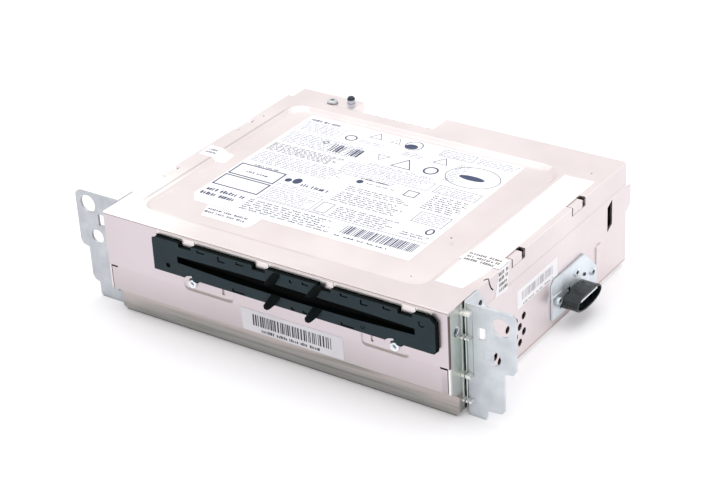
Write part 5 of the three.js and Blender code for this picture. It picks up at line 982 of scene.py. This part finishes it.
# The large label in the lid's recess: its outline, then blocks of print, frames, bars, rings as centre, radii
# and width, discs and triangles
barWidths = (0.35, 0.5, 0.8)
topLabel = {
    "seed": 7, "heavyWidths": (0.5, 0.8, 1.1), "discSteps": 24, "triangleWidth": 0.16,
    "rule": ((-39.6, 51), (46, 46.24)),
    "outline": [(-67.6, 128.8), (51.2, 128.5), (51.8, 30.3), (-62.6, 30.3), (-67.2, 36.2)],
    "dark": [(-65, 123, -44.4, 127, 3.2, 2.1, 1.2), (-65.2, 41.5, -43, 44.6, 3.1, 2.6, 1.7),
             (-65.2, 37.2, -43, 40.4, 3.1, 2.6, 1.7), (-29, 64, -11, 68, 3.6, 2.6, 1.6),
             (-59.5, 63.8, -46, 66.4, 2.4, 1.4, 1.2), (-8.8, 83, 6, 85.4, 2, 1.2, 1.1)],
    "plain": [(-40.8, 33, 8.4, 44.6, 1.75, 1, 0.72), (-9.2, 59.4, 25.4, 70, 1.65, 0.85, 0.65),
              (-1.6, 47, 31, 57.4, 1.65, 0.85, 0.65), (30, 72, 49, 86.6, 1.75, 0.85, 0.65),
              (-66, 88.2, -25, 96.6, 1.2, 0.8, 0.5), (-9, 70.8, 26, 76, 1.6, 0.8, 0.65),
              (35, 46.8, 49.3, 52, 1.8, 0.95, 0.7), (-60, 70.9, -46, 73.6, 2.2, 1.2, 1),
              (11, 33.4, 43.5, 35.4, 1.8, 1.1, 0.9), (-4, 79.4, 13.6, 82, 1.5, 0.8, 0.65)],
    "faint": [(-65, 112.6, -44.5, 122.2, 1.4, 0.8, 0.6), (-65.4, 73.8, -17, 86.8, 1.45, 0.85, 0.62),
              (-65.4, 98.4, -22, 110.8, 1.5, 0.85, 0.62), (29.2, 120.4, 49.6, 127.4, 1.5, 0.8, 0.6),
              (-31.6, 113.6, -17, 118, 1.5, 0.8, 0.6), (-6, 112.6, 6, 117.4, 1.5, 0.8, 0.6),
              (-21, 88.2, 23, 94.8, 1.35, 0.8, 0.6), (27.8, 88.6, 48, 94.4, 1.4, 0.8, 0.6),
              (-37.4, 48, -12.6, 57.6, 1.5, 0.85, 0.62), (34.2, 61.4, 47.8, 69.4, 1.5, 0.8, 0.6),
              (-40, 60.2, -12, 63.2, 1.5, 0.8, 0.6), (-14, 97, 24, 99.6, 1.3, 0.8, 0.6),
              (24, 99, 30, 118, 1.6, 0.8, 0.6), (-21.6, 83.4, 14, 86.8, 1.5, 0.8, 0.6),
              (-11, 46.6, -2.4, 47.6, 1, 0.6, 0.5), (10.4, 121.2, 26.8, 126.4, 1.6, 0.8, 0.6)],
    "heavy": [(-39, 100.2, -31.4, 107.6), (-28.6, 100.2, -20.4, 107.6)],
    "frames": [((-66.2, 59.6, -40.6, 71), 0.75), ((-66.2, 47.6, -40.6, 58.6), 0.75),
               ((-22.4, 87.4, 24.2, 95.3), 0.22), ((26.8, 87.8, 48.8, 95.2), 0.25),
               ((33, 60.4, 48.8, 70), 0.28), ((-38.4, 47, -11.8, 58.4), 0.2),
               ((-10, 47.8, -3.8, 57), 0.32), ((9.8, 120.6, 27.4, 127), 0.25), ((16.8, 78.8, 23, 84.4), 0.5),
               ((-66, 112, -42.6, 122.4), 0.14)],
    "bars": [(12, 36.6, 49.2, 43.8)],
    "rings": [((35.8, 108), (13.6, 9.9), 0.32), ((15.2, 105.2), (3.7, 3.7), 0.9),
              ((-5.4, 123.3), (4.5, 4.5), 0.45), ((-36.4, 116.6), (3.2, 2.8), 0.7),
              ((46.2, 55.6), (2, 2.7), 0.8), ((-44.2, 107), (1.5, 1.5), 0.5)],
    "discs": [((-5.9, 122), (3.2, 2.4)), ((-36.8, 66.6), (1.7, 1.7)), ((-32.4, 67.6), (2.2, 2.7)),
              ((-7.2, 80.8), (1.7, 1.7)), ((35.6, 107.4), (6.6, 2.1))],
    "triangles": [[(-4.4, 101), (6.6, 101), (0.8, 110.2)], [(-29.4, 121.4), (-22.4, 121.4), (-26, 127)],
                  [(-17.6, 121.4), (-12.2, 121.4), (-14.8, 126.6)], [(11, 113), (19, 113), (15, 119.4)],
                  [(-15.4, 108.4), (-8.6, 108.4), (-12.2, 103.4)]],
}


def makeTopLabel():
    rng = random.Random(topLabel["seed"])
    face = recessFloor + labelSheet
    prismPiece("top_label", [(topLabel["outline"], "z", recessFloor, face)], "labelPaperCoated")
    dark = bmesh.new()
    for block in topLabel["dark"] + topLabel["plain"]:
        textBlock(dark, rng, "z", face, block)
    for block in topLabel["heavy"]:
        barRow(dark, rng, "z", face, block, topLabel["heavyWidths"])
    for block, width in topLabel["frames"]:
        frameLines(dark, "z", face, block, width)
    for block in topLabel["bars"]:
        barRow(dark, rng, "z", face, block, barWidths)
    for centre, radii, width in topLabel["rings"]:
        ringAt(dark, centre, radii, width, face)
    for centre, radii in topLabel["discs"]:
        ringAt(dark, centre, radii, 0, face, topLabel["discSteps"])
    for outline in topLabel["triangles"]:
        triangleRing(dark, outline, face)
    inked(dark, "z", face, *topLabel["rule"])
    finishPiece("top_label_print", dark, "inkThermalDark")
    faint = bmesh.new()
    for block in topLabel["faint"]:
        textBlock(faint, rng, "z", face, block)
    finishPiece("top_label_small_print", faint, "inkThermalFaint")


# The other stickers: the face that each lies on, across z unless an axis is given, its outline and its
# printed blocks. All print of one ink is one piece
stickerSeed = 11
stickers = {
    "recess_seal": {
        "face": recessFloor, "text": [(-52, 21.6, -27, 29, 2.6, 1.5, 1.2)],
        "outline": [(-54.2, 29.6), (-50.8, 20.4), (-26.6, 20.4), (-25, 22.6), (-24.8, 30.2)]},
    "edge_seal": {
        "face": lidTop, "text": [(-87.4, 68, -81, 74.6, 2.6, 1.4, 1.2)],
        "outline": [(-88.9, 76.5), (-88.2, 66.4), (-80, 66.1), (-80, 75.8)]},
    "edge_seal_low": {
        "face": recessFloor,
        "outline": [(-78.4, 66), (-75.2, 65.8), (-73.2, 67.6), (-74.4, 75.2), (-78.4, 75.6)]},
    "blank_strip": {
        "face": lidTop,
        "outline": [(72, 127.5), (86.9, 128), (86.9, 33), (84.6, 19.2), (71.8, 19.2)]},
    "front_label": {
        "axis": "y", "face": 0, "paper": "labelPaperUncoated", "ink": "inkThermalBlack",
        "text": [(-6, 15.9, 26, 17.7, 1.8, 1.5, 1.05)], "bars": [(-9.8, 18.5, 32, 24)],
        "outline": [(-16.2, 26), (-15.4, 15.2), (37.5, 15.2), (37.6, 26.1)]},
    "side_label": {
        "axis": "x", "face": wallFace, "ink": "inkThermalPale",
        "text": [(58, 27.4, 84, 29.4, 1.9, 1.1, 0.8)], "bars": [(57.5, 30, 84.4, 34)],
        "outline": oblong(53.6, 88, 27, 36)},
    "corner_seal_top": {
        "face": lidTop + labelSheet, "ink": "inkThermalWorn",
        "text": [(72, 40, 89.4, 47.6, 2.5, 1.8, 1.25)],
        "outline": [(70.2, 40), (90.1, 39.6), (90.1, 48.2), (71, 47.5)]},
    "corner_seal_side": {
        "axis": "x", "face": wallFace, "ink": "inkThermalWorn",
        "text": [(38.6, 42.6, 46.6, 53, 2.5, 1.8, 1.25)],
        "outline": [(35.6, 42), (45.6, 41), (47.6, 53.7), (39.4, 53.7)]},
}
printPieces = {"inkThermalDark": "seal_print", "inkThermalBlack": "front_label_print",
               "inkThermalWorn": "corner_seal_print", "inkThermalPale": "side_label_print"}


def makeStickers():
    rng = random.Random(stickerSeed)
    prints = {ink: bmesh.new() for ink in printPieces}
    for name, sticker in stickers.items():
        form = prints[sticker.get("ink", "inkThermalDark")]
        axis = sticker.get("axis", "z")
        face = sticker["face"] + (-labelSheet if axis == "y" else labelSheet)
        prismPiece(name, [(sticker["outline"], axis, sticker["face"], face)],
                   sticker.get("paper", "labelPaperCoated"))
        for block in sticker.get("text", []):
            textBlock(form, rng, axis, face, block)
        for block in sticker.get("bars", []):
            barRow(form, rng, axis, face, block, barWidths)
    for ink, form in prints.items():
        finishPiece(printPieces[ink], form, ink)


# The edge seal follows the lid's step down into the recess
sealFold = {"lip": -80, "foot": -78.4, "sheetFoot": -78.36, "ends": (66.1, 75.7)}


def makeSealFold():
    outline = [(sealFold["lip"], lidTop), (sealFold["lip"], lidTop + labelSheet),
               (sealFold["sheetFoot"], recessFloor + labelSheet), (sealFold["foot"], recessFloor)]
    prismPiece("edge_seal_fold", [(outline, "y", *sealFold["ends"])], "labelPaperCoated")


makeTopLabel()
makeStickers()
makeSealFold()
print("labels done")
